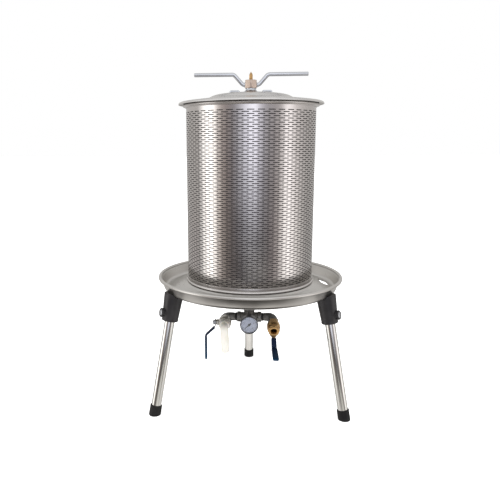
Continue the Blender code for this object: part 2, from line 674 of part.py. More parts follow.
def build_lever(prefix, stem_axis, length, rise, covered, mats):
    """A cranked flat lever and its sleeve, which starts on the crank where covered is true."""
    height = LEVER_SEAT + LEVER_SHEET / 2
    bend_steps = 3
    crank_end = LEVER_CRANK_START + rise * 0.95
    corners = [(6.0, 0.0, height), (LEVER_CRANK_START, 0.0, height),
               (crank_end, 0.0, height + rise), (length, 0.0, height + rise)]
    path = rounded_path(corners, 6.0, bend_steps)
    root = slab_section(LEVER_ROOT_WIDTH, LEVER_SHEET, 0.3)
    shank = slab_section(LEVER_WIDTH, LEVER_SHEET, 0.3)
    ahead = path[0][1]
    stations = [(Vector((-9.0, 0.0, height)), ahead, root), (path[0][0], ahead, root)]
    stations += [(p, d, shank) for p, d in path[1:]]
    lever = swept(prefix + "_lever", stations, (0.0, 1.0, 0.0), stem_axis,
                  mats["lever_steel"], closed=False)
    hole = turned(prefix + "_lever_hole", rod_profile(STEM_THREAD + GAP, height - 5.0,
                                                      height + 5.0), stem_axis, None, SMALL_ROUND)
    combine(lever, hole, "DIFFERENCE")

    slot = slab_section(LEVER_WIDTH + 2 * GAP, LEVER_SHEET + 2 * GAP, 0.1)
    narrow = slab_section(LEVER_WIDTH + 2.5, GRIP_THICKNESS - 0.8, 1.2)
    sleeve = slab_section(GRIP_WIDTH, GRIP_THICKNESS, 1.6)
    tip = slab_section(GRIP_WIDTH - 4.0, GRIP_THICKNESS - 3.0, 1.0)
    first_bend_end = 1 + bend_steps
    second_bend_end = first_bend_end + 1 + bend_steps
    within = path[first_bend_end:] if covered else path[second_bend_end:]
    end, ahead = within[-1]
    stations = [(end + ahead * GAP, ahead, slot)]
    stations += [(p, d, slot) for p, d in within[-2::-1]]
    stations += [(p, d, narrow) for p, d in within[:-2]]
    stations += [(within[-2][0] + ahead * 6.0, ahead, sleeve), (end, ahead, sleeve),
                 (end + ahead * 3.0, ahead, tip)]
    if not covered:
        stations.insert(2, (within[0][0], ahead, narrow))
    swept(prefix + "_lever_grip", stations, (0.0, 1.0, 0.0), stem_axis, mats["grip_blue"],
          closed=False)


def build_spout(valve, mats):
    """The hose tail on the drain valve: forward out of the valve, then down."""
    start = VALVE_END + GAP
    collar_end = start + 8.0
    lean = math.radians(SPOUT_LEAN)
    ahead = Vector((0.0, 0.0, 1.0))
    down = Vector((-math.sin(lean), math.cos(lean), 0.0))
    corners = [ahead * collar_end, ahead * SPOUT_BEND_START,
               ahead * SPOUT_BEND_START + down * (SPOUT_DROP - 1.5)]
    path = rounded_path(corners, 7.0, 5)
    outer = [SPOUT_RADIUS + 1.5] * (len(path) - 1) + [SPOUT_RADIUS]
    tip = path[-1][0] + down * 1.5
    path = [(ahead * start, ahead), (ahead * collar_end, ahead)] + path + [(tip, down)]
    outer = [SPOUT_COLLAR, SPOUT_COLLAR] + outer + [SPOUT_RADIUS - 1.0]
    pipe("drain_spout", path, outer, SPOUT_BORE, ahead.cross(down), valve, mats["white_nylon"])


def build_needle(gauge, mats):
    """A pointer with a short tail, on a pin that passes through the dial."""
    low, high = DIAL_HEIGHT + 2.0, DIAL_HEIGHT + 2.9
    angle = math.radians(NEEDLE_ZERO)
    needle_axis = make_axis("needle_axis", gauge,
                            x_axis=(math.cos(angle), math.sin(angle), 0.0))
    outline = [(15.5, 0.0), (2.4, 1.3), (1.2, 2.4), (-1.2, 2.4), (-2.4, 1.3), (-6.0, 0.8),
               (-6.0, -0.8), (-2.4, -1.3), (-1.2, -2.4), (1.2, -2.4), (2.4, -1.3)]
    stations = [((0.0, 0.0, z), (0.0, 0.0, 1.0), outline) for z in (low, high)]
    needle = swept("gauge_needle", stations, (1.0, 0.0, 0.0), needle_axis, mats["needle_black"],
                   closed=False)
    pin = turned("needle_pin", rod_profile(1.0, DIAL_HEIGHT - 2.0, high - 0.3), needle_axis,
                 None, SMALL_ROUND)
    combine(needle, pin, "UNION")


def build_gauge(manifold, mats):
    gauge = make_axis("gauge_axis", manifold, (0.0, -CROSS_NOSE, 0.0), z_axis=(0, -1, 0))
    turned("gauge_stem",
           [(0.0, GAP), (5.5, GAP), (5.5, 6.0), (6.5, 6.5), (7.0, 7.5, 6), (7.0, 14.5, 6),
            (6.5, 15.5), (5.5, 16.0), (5.5, GAUGE_BACK - GAP), (0.0, GAUGE_BACK - GAP)],
           gauge, mats["brass"], SMALL_ROUND)
    wall = GAUGE_RADIUS - GAUGE_WALL
    turned("gauge_case",
           [(0.0, GAUGE_BACK + 2.0), (wall, GAUGE_BACK + 2.0), (wall, GAUGE_FRONT),
            (GAUGE_RADIUS - 0.6, GAUGE_FRONT), (GAUGE_RADIUS, GAUGE_FRONT - 0.8),
            (GAUGE_RADIUS, GAUGE_FRONT - 4.0), (GAUGE_RADIUS - 0.8, GAUGE_FRONT - 4.6),
            (GAUGE_RADIUS - 0.8, GAUGE_BACK + 1.5), (GAUGE_RADIUS - 2.0, GAUGE_BACK),
            (0.0, GAUGE_BACK)],
           gauge, mats["gauge_black"])
    inside = wall - GAP
    turned("gauge_dial", collar_profile(1.5, inside, DIAL_HEIGHT, DIAL_HEIGHT + 1.0), gauge,
           mats["dial_white"])
    turned("gauge_window", rod_profile(inside, DIAL_HEIGHT + 3.6, DIAL_HEIGHT + 5.2), gauge,
           mats["window_glass"])
    build_needle(gauge, mats)


def build_manifold(axis, mats):
    manifold = make_axis("manifold_axis", axis, (0.0, 0.0, MANIFOLD_HEIGHT))
    build_cross(manifold, mats)
    build_gauge(manifold, mats)
    build_elbow("elbow_left", -1.0, manifold, mats)
    drain = build_valve("drain", manifold, -1.0, (-1, 0, 0), mats, mats["valve_nickel"])
    drain_stem = build_stem("drain", drain, (0, 1, 0), mats, mats["valve_nickel"])
    build_lever("drain", drain_stem, DRAIN_LEVER_LENGTH, DRAIN_LEVER_RISE, False, mats)
    build_spout(drain, mats)
    dip = math.radians(INLET_TILT)
    inlet_branch = make_axis("inlet_branch", manifold,
                             z_axis=(0.0, -math.sin(dip), math.cos(dip)))
    build_elbow("elbow_right", 1.0, inlet_branch, mats)
    inlet = build_valve("inlet", inlet_branch, 1.0, (0, 0, -1), mats, mats["brass"])
    skew = math.radians(INLET_LEVER_SKEW)
    inlet_stem = build_stem("inlet", inlet, (0.0, math.sin(skew), math.cos(skew)), mats,
                            mats["brass"])
    build_lever("inlet", inlet_stem, INLET_LEVER_LENGTH, INLET_LEVER_RISE, True, mats)


def build_materials():
    table = {
        "basket_steel": ((0.56, 0.54, 0.52), 0.30, 1.0),
        "lid_steel": ((0.60, 0.58, 0.56), 0.22, 1.0),
        "tray_steel": ((0.58, 0.57, 0.54), 0.34, 1.0),
        "handle_steel": ((0.55, 0.57, 0.60), 0.28, 1.0),
        "leg_steel": ((0.60, 0.60, 0.58), 0.15, 1.0),
        "base_steel": ((0.45, 0.45, 0.45), 0.40, 1.0),
        "tube_steel": ((0.50, 0.50, 0.50), 0.30, 1.0),
        "hub_bronze": ((0.52, 0.42, 0.34), 0.35, 1.0),
        "brass": ((0.55, 0.38, 0.16), 0.32, 1.0),
        "fitting_iron": ((0.38, 0.38, 0.37), 0.50, 0.9),
        "valve_nickel": ((0.58, 0.56, 0.52), 0.25, 1.0),
        "ball_chrome": ((0.75, 0.75, 0.76), 0.08, 1.0),
        "lever_steel": ((0.52, 0.54, 0.58), 0.30, 1.0),
        "grip_blue": ((0.012, 0.055, 0.17), 0.45, 0.0),
        "white_nylon": ((0.72, 0.70, 0.64), 0.45, 0.0),
        "black_plastic": ((0.020, 0.019, 0.021), 0.38, 0.0),
        "foot_rubber": ((0.014, 0.013, 0.014), 0.60, 0.0),
        "seal_rubber": ((0.015, 0.015, 0.015), 0.65, 0.0),
        "bladder_rubber": ((0.010, 0.010, 0.011), 0.55, 0.0),
        "gauge_black": ((0.030, 0.030, 0.035), 0.35, 0.0),
        "dial_white": ((0.62, 0.66, 0.74), 0.50, 0.0),
        "needle_black": ((0.010, 0.010, 0.012), 0.40, 0.0),
        "window_glass": ((0.90, 0.92, 0.95), 0.04, 0.0),
    }
    return {name: make_material(name, *values) for name, values in table.items()}


def press_axis_offset():
    """How far behind the press's axis the middle of the whole outline lies."""
    foot_half = FOOT_RADIUS / math.cos(math.radians(LEG_SPLAY))
    rear = LEG_FOOT_RADIUS + foot_half
    front = TRAY_LINE[-1][0]
    return (rear - front) / 2


def main():
    for obj in list(bpy.data.objects):
        bpy.data.objects.remove(obj)
    mats = build_materials()
    axis = make_axis("press_axis", None, (0.0, -press_axis_offset(), 0.0))
    build_tray(axis, mats)
    build_centre(axis, mats)
    build_basket(axis, mats)
    build_lid(axis, mats)
    build_handle(axis, mats)
    build_vent(axis, mats)
    build_legs(axis, mats)
    build_manifold(axis, mats)


main()
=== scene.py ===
import json
import math

import bmesh
import bpy
import numpy as np
from mathutils import Matrix, Vector

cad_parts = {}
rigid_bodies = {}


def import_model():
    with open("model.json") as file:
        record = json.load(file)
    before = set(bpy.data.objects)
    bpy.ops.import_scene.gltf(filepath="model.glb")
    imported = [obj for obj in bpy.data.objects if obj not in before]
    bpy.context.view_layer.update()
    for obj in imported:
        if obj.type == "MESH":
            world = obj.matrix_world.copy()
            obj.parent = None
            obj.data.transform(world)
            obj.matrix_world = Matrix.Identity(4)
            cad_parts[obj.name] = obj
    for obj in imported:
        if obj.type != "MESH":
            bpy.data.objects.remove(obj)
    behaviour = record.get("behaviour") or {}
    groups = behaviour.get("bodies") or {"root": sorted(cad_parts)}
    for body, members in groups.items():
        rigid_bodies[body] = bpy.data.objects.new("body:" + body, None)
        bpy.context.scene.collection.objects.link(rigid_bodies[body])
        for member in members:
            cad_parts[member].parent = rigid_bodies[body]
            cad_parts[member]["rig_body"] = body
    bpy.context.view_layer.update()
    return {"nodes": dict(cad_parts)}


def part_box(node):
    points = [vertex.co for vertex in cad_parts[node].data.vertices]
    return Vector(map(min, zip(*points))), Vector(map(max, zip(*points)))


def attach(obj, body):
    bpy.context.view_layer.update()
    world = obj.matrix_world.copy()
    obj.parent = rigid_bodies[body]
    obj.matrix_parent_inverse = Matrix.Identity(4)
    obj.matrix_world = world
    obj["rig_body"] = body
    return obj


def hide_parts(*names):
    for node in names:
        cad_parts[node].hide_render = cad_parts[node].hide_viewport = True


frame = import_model()

MM = 0.001
TURN = 2.0 * math.pi
UP = Vector((0.0, 0.0, 1.0))
GAP = 0.3                   # clearance between pieces that touch, as in the CAD
FINE = 144                  # segments round the tray, basket and lid
ROUND = 72                  # segments round tubes, sockets, knobs and valves
MEDIUM = 48                 # segments round bosses, stems and nuts
SMALL = 40                  # segments round rods, rings and bores
SHARP = 38.0                # an edge that turns by more degrees than this stays crisp

# Levels and radii shared by several pieces, in millimetres, as in the CAD
BASKET_RADIUS = 165.0
BASKET_WALL = 1.2
BASKET_BOTTOM = 334.7
BASKET_TOP = 786.0
TRAY_SEAT = 331.0
SHEET = 2.0                 # thickness of the tray and the lid
LID_TOP = 813.0
LEG_REACH = 280.5
LEG_SPLAY = math.radians(10.8)
LEG_AZIMUTHS = {"rear": 90.0, "left": 210.0, "right": 330.0}
SIDES = (("left", -1.0), ("right", 1.0))


# ---- places

def polar(radius, angle):
    return radius * math.cos(angle), radius * math.sin(angle)


def about(parent, place=(0, 0, 0), x_axis=(1, 0, 0), z_axis=(0, 0, 1)):
    """A frame that stands in its parent, with its place in millimetres."""
    across, up = Vector(x_axis).normalized(), Vector(z_axis).normalized()
    turn = Matrix((across, up.cross(across), up)).transposed().to_4x4()
    return parent @ Matrix.Translation(Vector(place) * MM) @ turn


def sideways(parent, height=0.0):
    """A frame whose Z axis runs along its parent's X axis."""
    return about(parent, (0.0, 0.0, height), (0, 0, -1), (1, 0, 0))


def press_axis():
    low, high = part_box("basket_shell")
    return Matrix.Translation(((low.x + high.x) / 2, (low.y + high.y) / 2, 0.0))


PRESS = press_axis()
MANIFOLD = about(PRESS, (0.0, 0.0, 224.0))
INLET_DIP = math.radians(12.0)
INLET_BRANCH = about(MANIFOLD, z_axis=(0.0, -math.sin(INLET_DIP), math.cos(INLET_DIP)))
DRAIN = about(MANIFOLD, (-64.5, -32.3, 0.0), (-1, 0, 0), (0, -1, 0))
INLET = about(INLET_BRANCH, (64.5, -32.3, 0.0), (0, 0, -1), (0, -1, 0))
BALL_CENTRE = 19.2
DRAIN_STEM = about(DRAIN, (0.0, 0.0, BALL_CENTRE), (0, 1, 0), (1, 0, 0))
INLET_SKEW = math.radians(3.0)
INLET_STEM = about(INLET, (0.0, 0.0, BALL_CENTRE),
                   (0.0, math.sin(INLET_SKEW), math.cos(INLET_SKEW)), (1, 0, 0))
GAUGE = about(MANIFOLD, (0.0, -22.0, 0.0), (1, 0, 0), (0, -1, 0))


def leg_place(azimuth):
    outward = Vector((*polar(1.0, math.radians(azimuth)), 0.0))
    return about(PRESS, outward * LEG_REACH,
                 outward * math.cos(LEG_SPLAY) + UP * math.sin(LEG_SPLAY),
                 UP * math.cos(LEG_SPLAY) - outward * math.sin(LEG_SPLAY))


# ---- materials

class Graph:
    """A shader's node tree, with short ways to add to it."""

    def __init__(self, tree):
        self.tree = tree

    def node(self, kind, **settings):
        made = self.tree.nodes.new("ShaderNode" + kind)
        for key, value in settings.items():
            setattr(made, key, value)
        return made

    def feed(self, socket, value):
        if isinstance(value, bpy.types.NodeSocket):
            self.tree.links.new(value, socket)
        else:
            socket.default_value = value

    def maths(self, operation, *values):
        made = self.node("Math", operation=operation)
        for socket, value in zip(made.inputs, values):
            self.feed(socket, value)
        return made.outputs[0]

    def span(self, value, low, high, to_low=0, to_high=1, **settings):
        made = self.node("MapRange", **settings)
        for socket, number in zip(made.inputs, (value, low, high, to_low, to_high)):
            self.feed(socket, number)
        return made.outputs[0]

    def blend(self, factor, first, second):
        made = self.node("Mix", data_type="RGBA")
        sockets = [s for s in made.inputs if s.enabled]
        for socket, value in zip(sockets, (factor, first, second)):
            self.feed(socket, value if isinstance(value, (float, bpy.types.NodeSocket))
                      else (*value, 1))
        return [s for s in made.outputs if s.enabled][0]


class Finish(Graph):
    """One procedural material: a principled shader and the textures that vary it."""

    def __init__(self, name, roughness, metallic=0, **constants):
        self.material = bpy.data.materials.new("finish_" + name)
        self.material.use_nodes = True
        super().__init__(self.material.node_tree)
        self.shader = self.tree.nodes["Principled BSDF"]
        self.shader.inputs["Roughness"].default_value = roughness
        self.shader.inputs["Metallic"].default_value = metallic
        for socket, value in constants.items():
            self.shader.inputs[socket.replace("_", " ")].default_value = value
        self.height = None

    def average(self, first, second, share=0.5):
        """Two values added, the first with this share and the second with the rest."""
        return self.maths("ADD", self.maths("MULTIPLY", first, share),
                          self.maths("MULTIPLY", second, 1.0 - share))

    def own_axes(self):
        """The piece's own x, y and z."""
        split = self.node("SeparateXYZ")
        self.feed(split.inputs[0], self.node("TexCoord").outputs["Object"])
        return split.outputs

    def place(self, stretch=(1, 1, 1)):
        """The piece's own coordinates, squeezed along each axis."""
        mapping = self.node("Mapping")
        self.feed(mapping.inputs["Vector"], self.node("TexCoord").outputs["Object"])
        mapping.inputs["Scale"].default_value = stretch
        return mapping.outputs[0]

    def turning(self, around, across):
        """Coordinates for grain that runs round the piece's Z axis, as if turned or brushed."""
        x, y, z = self.own_axes()
        squares = self.maths("ADD", self.maths("MULTIPLY", x, x), self.maths("MULTIPLY", y, y))
        radius = self.maths("ADD", self.maths("SQRT", squares), 1e-5)
        join = self.node("CombineXYZ")
        parts = ((self.maths("DIVIDE", x, radius), around),
                 (self.maths("DIVIDE", y, radius), around),
                 (self.maths("ADD", radius, z), across))
        for socket, (value, factor) in zip(join.inputs, parts):
            self.feed(socket, self.maths("MULTIPLY", value, factor))
        return join.outputs[0]

    def noise(self, scale, detail=3, contrast=None, vector=None):
        made = self.node("TexNoise")
        self.feed(made.inputs["Vector"], self.place() if vector is None else vector)
        made.inputs["Scale"].default_value = scale
        made.inputs["Detail"].default_value = detail
        if contrast is None:
            return made.outputs["Fac"]
        return self.span(made.outputs["Fac"], *contrast)

    def cells(self, scale):
        made = self.node("TexVoronoi")
        self.feed(made.inputs["Vector"], self.place())
        made.inputs["Scale"].default_value = scale
        return made.outputs["Color"]

    def colour(self, value):
        self.feed(self.shader.inputs["Base Color"], value)

    def rough(self, factor, low, high):
        self.feed(self.shader.inputs["Roughness"], self.span(factor, 0, 1, low, high))

    def bump(self, height, strength, distance):
        """Add a layer of relief, on top of the layers before it."""
        made = self.node("Bump")
        made.inputs["Strength"].default_value = strength
        made.inputs["Distance"].default_value = distance * MM
        self.feed(made.inputs["Height"], height)
        if self.height:
            self.feed(made.inputs["Normal"], self.height)
        self.height = made.outputs[0]
        self.feed(self.shader.inputs["Normal"], self.height)


def shade(colour, factor):
    return tuple(min(channel * factor, 1) for channel in colour)


def metal(name, colour, roughness, grain="turned", wave=0):
    """Brushed or turned metal. Grain runs round the axis, or along it."""
    look = Finish(name, roughness, 1)
    if grain == "turned":
        vector = look.turning(3, 900)
    else:
        vector = look.place((1100, 1100, 14))
    lines = look.noise(1, 4, (0.3, 0.7), vector)
    patches = look.noise(26, 4, (0.28, 0.72))
    tone = look.blend(patches, shade(colour, 0.94), shade(colour, 1.04))
    look.colour(look.blend(look.maths("MULTIPLY", lines, 0.30), tone, shade(colour, 0.86)))
    look.rough(look.average(lines, patches, 0.55), roughness * 0.85, roughness * 1.20)
    look.bump(lines, 0.04, 0.03)
    if wave:
        look.bump(look.noise(11, 2), wave, 6)
    return look.material


def cast_metal(name, colour, roughness, spangle):
    """Zinc-coated iron: crystal cells over a slightly rough casting."""
    look = Finish(name, roughness, 0.9)
    cells = look.cells(1000.0 / spangle)
    split = look.node("SeparateColor")
    look.feed(split.inputs[0], cells)
    bright = split.outputs[0]
    soot = look.noise(60, 5, (0.42, 0.75))
    tone = look.blend(bright, shade(colour, 0.84), shade(colour, 1.18))
    look.colour(look.blend(look.maths("MULTIPLY", soot, 0.4), tone, shade(colour, 0.55)))
    look.rough(look.average(bright, soot), roughness * 0.75, roughness * 1.35)
    look.bump(look.noise(420, 4), 0.22, 0.25)
    return look.material


def plastic(name, colour, roughness, grain, worn, depth=0.12, **constants):
    """Moulded plastic or rubber: a fine grain, and paler where it has been handled."""
    look = Finish(name, roughness, 0, **constants)
    fine = look.noise(1000.0 / grain, 3)
    broad = look.noise(34, 5, (0.38, 0.74))
    look.colour(look.blend(broad, colour, worn))
    look.rough(look.average(fine, broad), roughness * 0.8, roughness * 1.3)
    look.bump(fine, 0.35, depth)
    return look.material


def vinyl(name, near, far, length):
    """A dipped sleeve: it pales along the lever towards its end."""
    look = Finish(name, 0.38, 0, Specular_IOR_Level=0.25)
    along = look.span(look.own_axes()[0], 0.030, length)
    mottle = look.noise(90, 4, (0.3, 0.7))
    tone = look.blend(along, near, far)
    look.colour(look.blend(look.maths("MULTIPLY", mottle, 0.3), tone, shade(far, 0.72)))
    look.rough(mottle, 0.30, 0.50)
    look.bump(look.noise(240, 2), 0.25, 0.15)
    return look.material


def glass(name):
    look = Finish(name, 0.02, 0, Transmission_Weight=1, IOR=1.45)
    smear = look.noise(70, 3, (0.35, 0.8))
    look.colour(look.blend(smear, (0.97, 0.98, 1), (0.90, 0.93, 0.97)))
    look.rough(smear, 0.01, 0.06)
    return look.material


def build_finishes():
    """Every finish by its name. The numbers are colours, roughness and grain sizes in mm."""
    made = [
        metal("basket_steel", (0.60, 0.575, 0.56), 0.19, wave=0.03),
        metal("lid_steel", (0.62, 0.605, 0.59), 0.24, wave=0.04),
        metal("tray_steel", (0.56, 0.545, 0.52), 0.30, wave=0.05),
        metal("handle_steel", (0.56, 0.575, 0.60), 0.17, "along"),
        metal("leg_steel", (0.64, 0.635, 0.61), 0.13, "along"),
        metal("base_steel", (0.45, 0.45, 0.45), 0.40),
        metal("tube_steel", (0.50, 0.50, 0.50), 0.30, "along"),
        metal("hub_bronze", (0.56, 0.46, 0.39), 0.34),
        metal("brass", (0.52, 0.33, 0.145), 0.27),
        cast_metal("fitting_iron", (0.21, 0.207, 0.20), 0.44, 3.2),
        metal("valve_nickel", (0.60, 0.585, 0.54), 0.26),
        metal("ball_chrome", (0.75, 0.75, 0.76), 0.08),
        metal("lever_steel", (0.52, 0.54, 0.575), 0.30, "along"),
        vinyl("grip_blue", (0.001, 0.006, 0.032), (0.002, 0.036, 0.085), 0.090),
        plastic("white_nylon", (0.76, 0.74, 0.68), 0.42, 2.4,
                (0.68, 0.65, 0.57), 0.05, Subsurface_Weight=0.25,
                Subsurface_Radius=(0.004, 0.003, 0.002)),
        plastic("black_plastic", (0.012, 0.011, 0.012), 0.38, 0.9,
                (0.022, 0.020, 0.021), 0.06, Specular_IOR_Level=0.35),
        plastic("foot_rubber", (0.006, 0.006, 0.006), 0.58, 0.7,
                (0.015, 0.014, 0.014), Specular_IOR_Level=0.2),
        plastic("seal_rubber", (0.012, 0.012, 0.012), 0.62, 0.8, (0.030, 0.029, 0.028)),
        plastic("bladder_rubber", (0.010, 0.010, 0.011), 0.52, 1.1, (0.030, 0.029, 0.030)),
        plastic("gauge_black", (0.030, 0.030, 0.036), 0.34, 0.8, (0.050, 0.050, 0.058), 0.05),
        plastic("dial_white", (0.46, 0.48, 0.56), 0.50, 0.5, (0.42, 0.44, 0.52), 0.02),
        plastic("needle_black", (0.008, 0.008, 0.010), 0.40, 0.5,
                (0.016, 0.016, 0.020), 0.02),
        glass("window_glass"),
    ]
    return {material.name.removeprefix("finish_"): material for material in made}


FINISHES = build_finishes()


# ---- profiles and sections

def soften(points, radius, closed=True, steps=4):
    """Round the corners of an (r, z) line. A third number in a point is its own radius."""
    rounded = []
    count = len(points)
    most = 0.46                 # share of an edge that one corner may take
    straight = 0.05             # turns smaller than this, in radians, stay as they are
    for index, point in enumerate(points):
        here = Vector(point[:2])
        size = point[2] if len(point) > 2 else radius
        before = Vector(points[index - 1][:2]) - here
        after = Vector(points[(index + 1) % count][:2]) - here
        at_end = not closed and index in (0, count - 1)
        turn = 0.0 if at_end else math.pi - before.angle(after)
        if at_end or size == 0.0 or turn < straight:
            rounded.append(tuple(here))
            continue
        reach = min(size * math.tan(turn / 2), most * before.length, most * after.length)
        start = here + before.normalized() * reach
        end = here + after.normalized() * reach
        for k in range(steps + 1):
            t = k / steps
            rounded.append(tuple(start * (1 - t) ** 2 + here * (2 * t * (1 - t)) + end * t * t))
    return rounded


def offset_line(line, distance):
    """The (r, z) line moved sideways by a distance, mitred at its corners."""
    points = [Vector(point) for point in line]
    normals = []
    for start, end in zip(points, points[1:]):
        along = (end - start).normalized()
        normals.append(Vector((-along.y, along.x)))
    moved = []
    for index, point in enumerate(points):
        before = normals[max(index - 1, 0)]
        after = normals[min(index, len(normals) - 1)]
        moved.append(tuple(point + (before + after) / (1.0 + before.dot(after)) * distance))
    return moved


def arc(centre, radius, start, end, steps):
    """Points round part of a circle, between two angles in degrees."""
    points = []
    for k in range(steps + 1):
        u, v = polar(radius, math.radians(start + (end - start) * k / steps))
        points.append((centre[0] + u, centre[1] + v))
    return points


def hexagon(half, start, end, chamfer):
    """Stations of a hexagonal band, with its corners turned off at both ends."""
    low, high = half * 0.985, half * 1.135
    steps = 5
    shares = [k / steps for k in range(steps + 1)]
    return ([(low + (high - low) * share, start + chamfer * share, half) for share in shares]
            + [(high - (high - low) * share, end - chamfer + chamfer * share, half)
               for share in shares])


def ridges(radius, depth, start, end, pitch):
    """Rounded thread crests along a bore or a screw, as (r, z) points."""
    count = max(1, round(abs(end - start) / pitch))
    points = []
    for k in range(count * 4 + 1):
        wave = 0.5 - 0.5 * math.cos(TURN * k / 4)
        points.append((radius + depth * wave, start + (end - start) * k / (count * 4)))
    return points


def disc(radius, segments=SMALL):
    return [polar(radius, TURN * k / segments) for k in range(segments)]


def slab(width, thickness, radius):
    """A flat bar's section, with rounded corners."""
    points = []
    for corner, (su, sv) in enumerate(((1, 1), (-1, 1), (-1, -1), (1, -1))):
        centre = (su * (width / 2 - radius), sv * (thickness / 2 - radius))
        points += arc(centre, radius, corner * 90, corner * 90.0 + 90, 5)
    return points


# ---- shapes: (points, faces)

def skin(rings, loop, capped=False):
    """Faces between rings of point numbers. A ring of one point makes a fan."""
    faces = []
    pairs = list(zip(rings, rings[1:])) + ([(rings[-1], rings[0])] if loop else [])
    for first, second in pairs:
        count = max(len(first), len(second))
        for i in range(count):
            j = (i + 1) % count
            if len(first) == 1:
                faces.append((first[0], second[j], second[i]))
            elif len(second) == 1:
                faces.append((first[i], first[j], second[0]))
            else:
                faces.append((first[i], first[j], second[j], second[i]))
    if capped:
        faces += [tuple(rings[0][::-1]), tuple(rings[-1])]
    return faces


def number_rings(rings):
    points, numbered = [], []
    for ring in rings:
        numbered.append(list(range(len(points), len(points) + len(ring))))
        points += ring
    return points, numbered


def lathe(stations, segments=ROUND, swell=None):
    """A turned shape. It is a closed loop, or it starts and ends on the axis.

    A third number in a station is half across the flats of a hexagon. Swell gives a factor
    for the radius at each angle and height.
    """
    rings = []
    crisp = 50                  # how sharply a hexagon's flats meet the turned surface
    for station in stations:
        radius, height = station[:2]
        if radius == 0.0:
            rings.append([(0, 0, height)])
            continue
        ring = []
        for k in range(segments):
            angle = TURN * k / segments
            reach = radius
            if len(station) == 3:
                from_flat = (angle + TURN / 12) % (TURN / 6) - TURN / 12
                flat = station[2] / math.cos(from_flat)
                reach = (radius ** -crisp + flat ** -crisp) ** (-1 / crisp)
            if swell:
                reach *= swell(angle, height)
            ring.append((*polar(reach, angle), height))
        rings.append(ring)
    points, numbered = number_rings(rings)
    return points, skin(numbered, loop=stations[0][0] > 0)


def turned(points, radius, segments=ROUND, swell=None):
    """A turned shape with softened corners. It stays open where it starts on the axis."""
    return lathe(soften(points, radius, points[0][0] > 0), segments, swell)


def plug(radius, start, end):
    """A plain cylinder, used to cut a bore."""
    return lathe([(0, start), (radius, start), (radius, end), (0, end)], SMALL)


def rounded_path(corners, radius, steps=8):
    """Stations (point, direction) along straight runs joined by arcs of one radius."""
    corners = [Vector(corner) for corner in corners]
    leave = (corners[1] - corners[0]).normalized()
    stations = [(corners[0], leave)]
    for before, corner, after in zip(corners, corners[1:], corners[2:]):
        arrive = (corner - before).normalized()
        leave = (after - corner).normalized()
        turn = arrive.angle(leave)
        normal = arrive.cross(leave).normalized()
        start = corner - arrive * radius * math.tan(turn / 2)
        centre = start + normal.cross(arrive) * radius
        for k in range(steps + 1):
            swing = Matrix.Rotation(turn * k / steps, 3, normal)
            stations.append((centre + swing @ (start - centre), swing @ arrive))
    stations.append((corners[-1], leave))
    return stations


def sweep(stations, side=(0, 1, 0), loop=False):
    """Sections carried along a path. Each station is (point, direction, section)."""
    across = Vector(side)
    rings = []
    for point, direction, section in stations:
        up = Vector(direction).cross(across)
        rings.append([tuple(Vector(point) + across * u + up * v) for u, v in section])
    points, numbered = number_rings(rings)
    return points, skin(numbered, loop, capped=not loop)


def prism(outline, low, high):
    """An outline raised from one height to another."""
    return sweep([(UP * z, UP, outline) for z in (low, high)], (1, 0, 0))


def rod(path, radius, ends):
    """A round bar along a path, its ends rounded off where ends says so."""
    edge = 1.2
    stations = [(point, direction, disc(radius)) for point, direction in path]
    for at_end, wanted in zip((0, -1), ends):
        if not wanted:
            continue
        point, direction, _ = stations[at_end]
        inward = direction * (edge if at_end == 0 else -edge)
        stations[at_end] = (point + inward, direction, disc(radius))
        for k in range(1, 6):
            angle = math.radians(18.0 * k)
            place = point + inward * (1.0 - math.sin(angle))
            station = (place, direction, disc(radius - edge * (1.0 - math.cos(angle))))
            if at_end == 0:
                stations.insert(0, station)
            else:
                stations.append(station)
    return sweep(stations)


def hollow(path, outer, bore, side):
    """A pipe: an outer radius for each station of the path, and an even bore."""
    outside = [(p, d, disc(r)) for (p, d), r in zip(path, outer)]
    inside = [(p, d, disc(bore)) for p, d in path[::-1]]
    return sweep(outside + inside, side, loop=True)


# ---- pieces

def linked(name, data):
    obj = bpy.data.objects.new(name, data)
    bpy.context.collection.objects.link(obj)
    return obj


def plain_object(name, shape, at=None, sharp=SHARP):
    points, faces = shape
    mesh = bpy.data.meshes.new(name)
    mesh.from_pydata([tuple(c * MM for c in p) for p in points], [], faces)
    bm = bmesh.new()
    bm.from_mesh(mesh)
    bmesh.ops.recalc_face_normals(bm, faces=bm.faces)
    bm.to_mesh(mesh)
    bm.free()
    mesh.shade_smooth()
    mesh.set_sharp_from_angle(angle=math.radians(sharp))
    obj = linked(name, mesh)
    if at:
        obj.matrix_world = at
    return obj


def settle(obj, node, finish=None, stands_in=True):
    """Put a piece on the body of the CAD node it belongs to, in that node's finish."""
    cad = frame["nodes"][node]
    name = finish or cad.data.materials[0].name
    obj.data.materials.clear()
    obj.data.materials.append(FINISHES[name])
    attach(obj, cad["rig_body"])
    if stands_in:
        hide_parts(node)
    return obj


def piece(node, shape, at=PRESS, sharp=SHARP):
    """A finely shaped piece that stands for one CAD node."""
    return settle(plain_object("fine_" + node, shape, at, sharp), node)


def extra(name, node, shape, at=PRESS, finish=None):
    """A small piece that the CAD leaves out, on the body of the node it sits on."""
    return settle(plain_object(name, shape, at), node, finish, stands_in=False)


def evaluated_mesh(obj):
    bpy.context.view_layer.update()
    shown = obj.evaluated_get(bpy.context.evaluated_depsgraph_get())
    return bpy.data.meshes.new_from_object(shown)


def apply_modifiers(obj):
    mesh = evaluated_mesh(obj)
    obj.modifiers.clear()
    old, obj.data = obj.data, mesh
    bpy.data.meshes.remove(old)


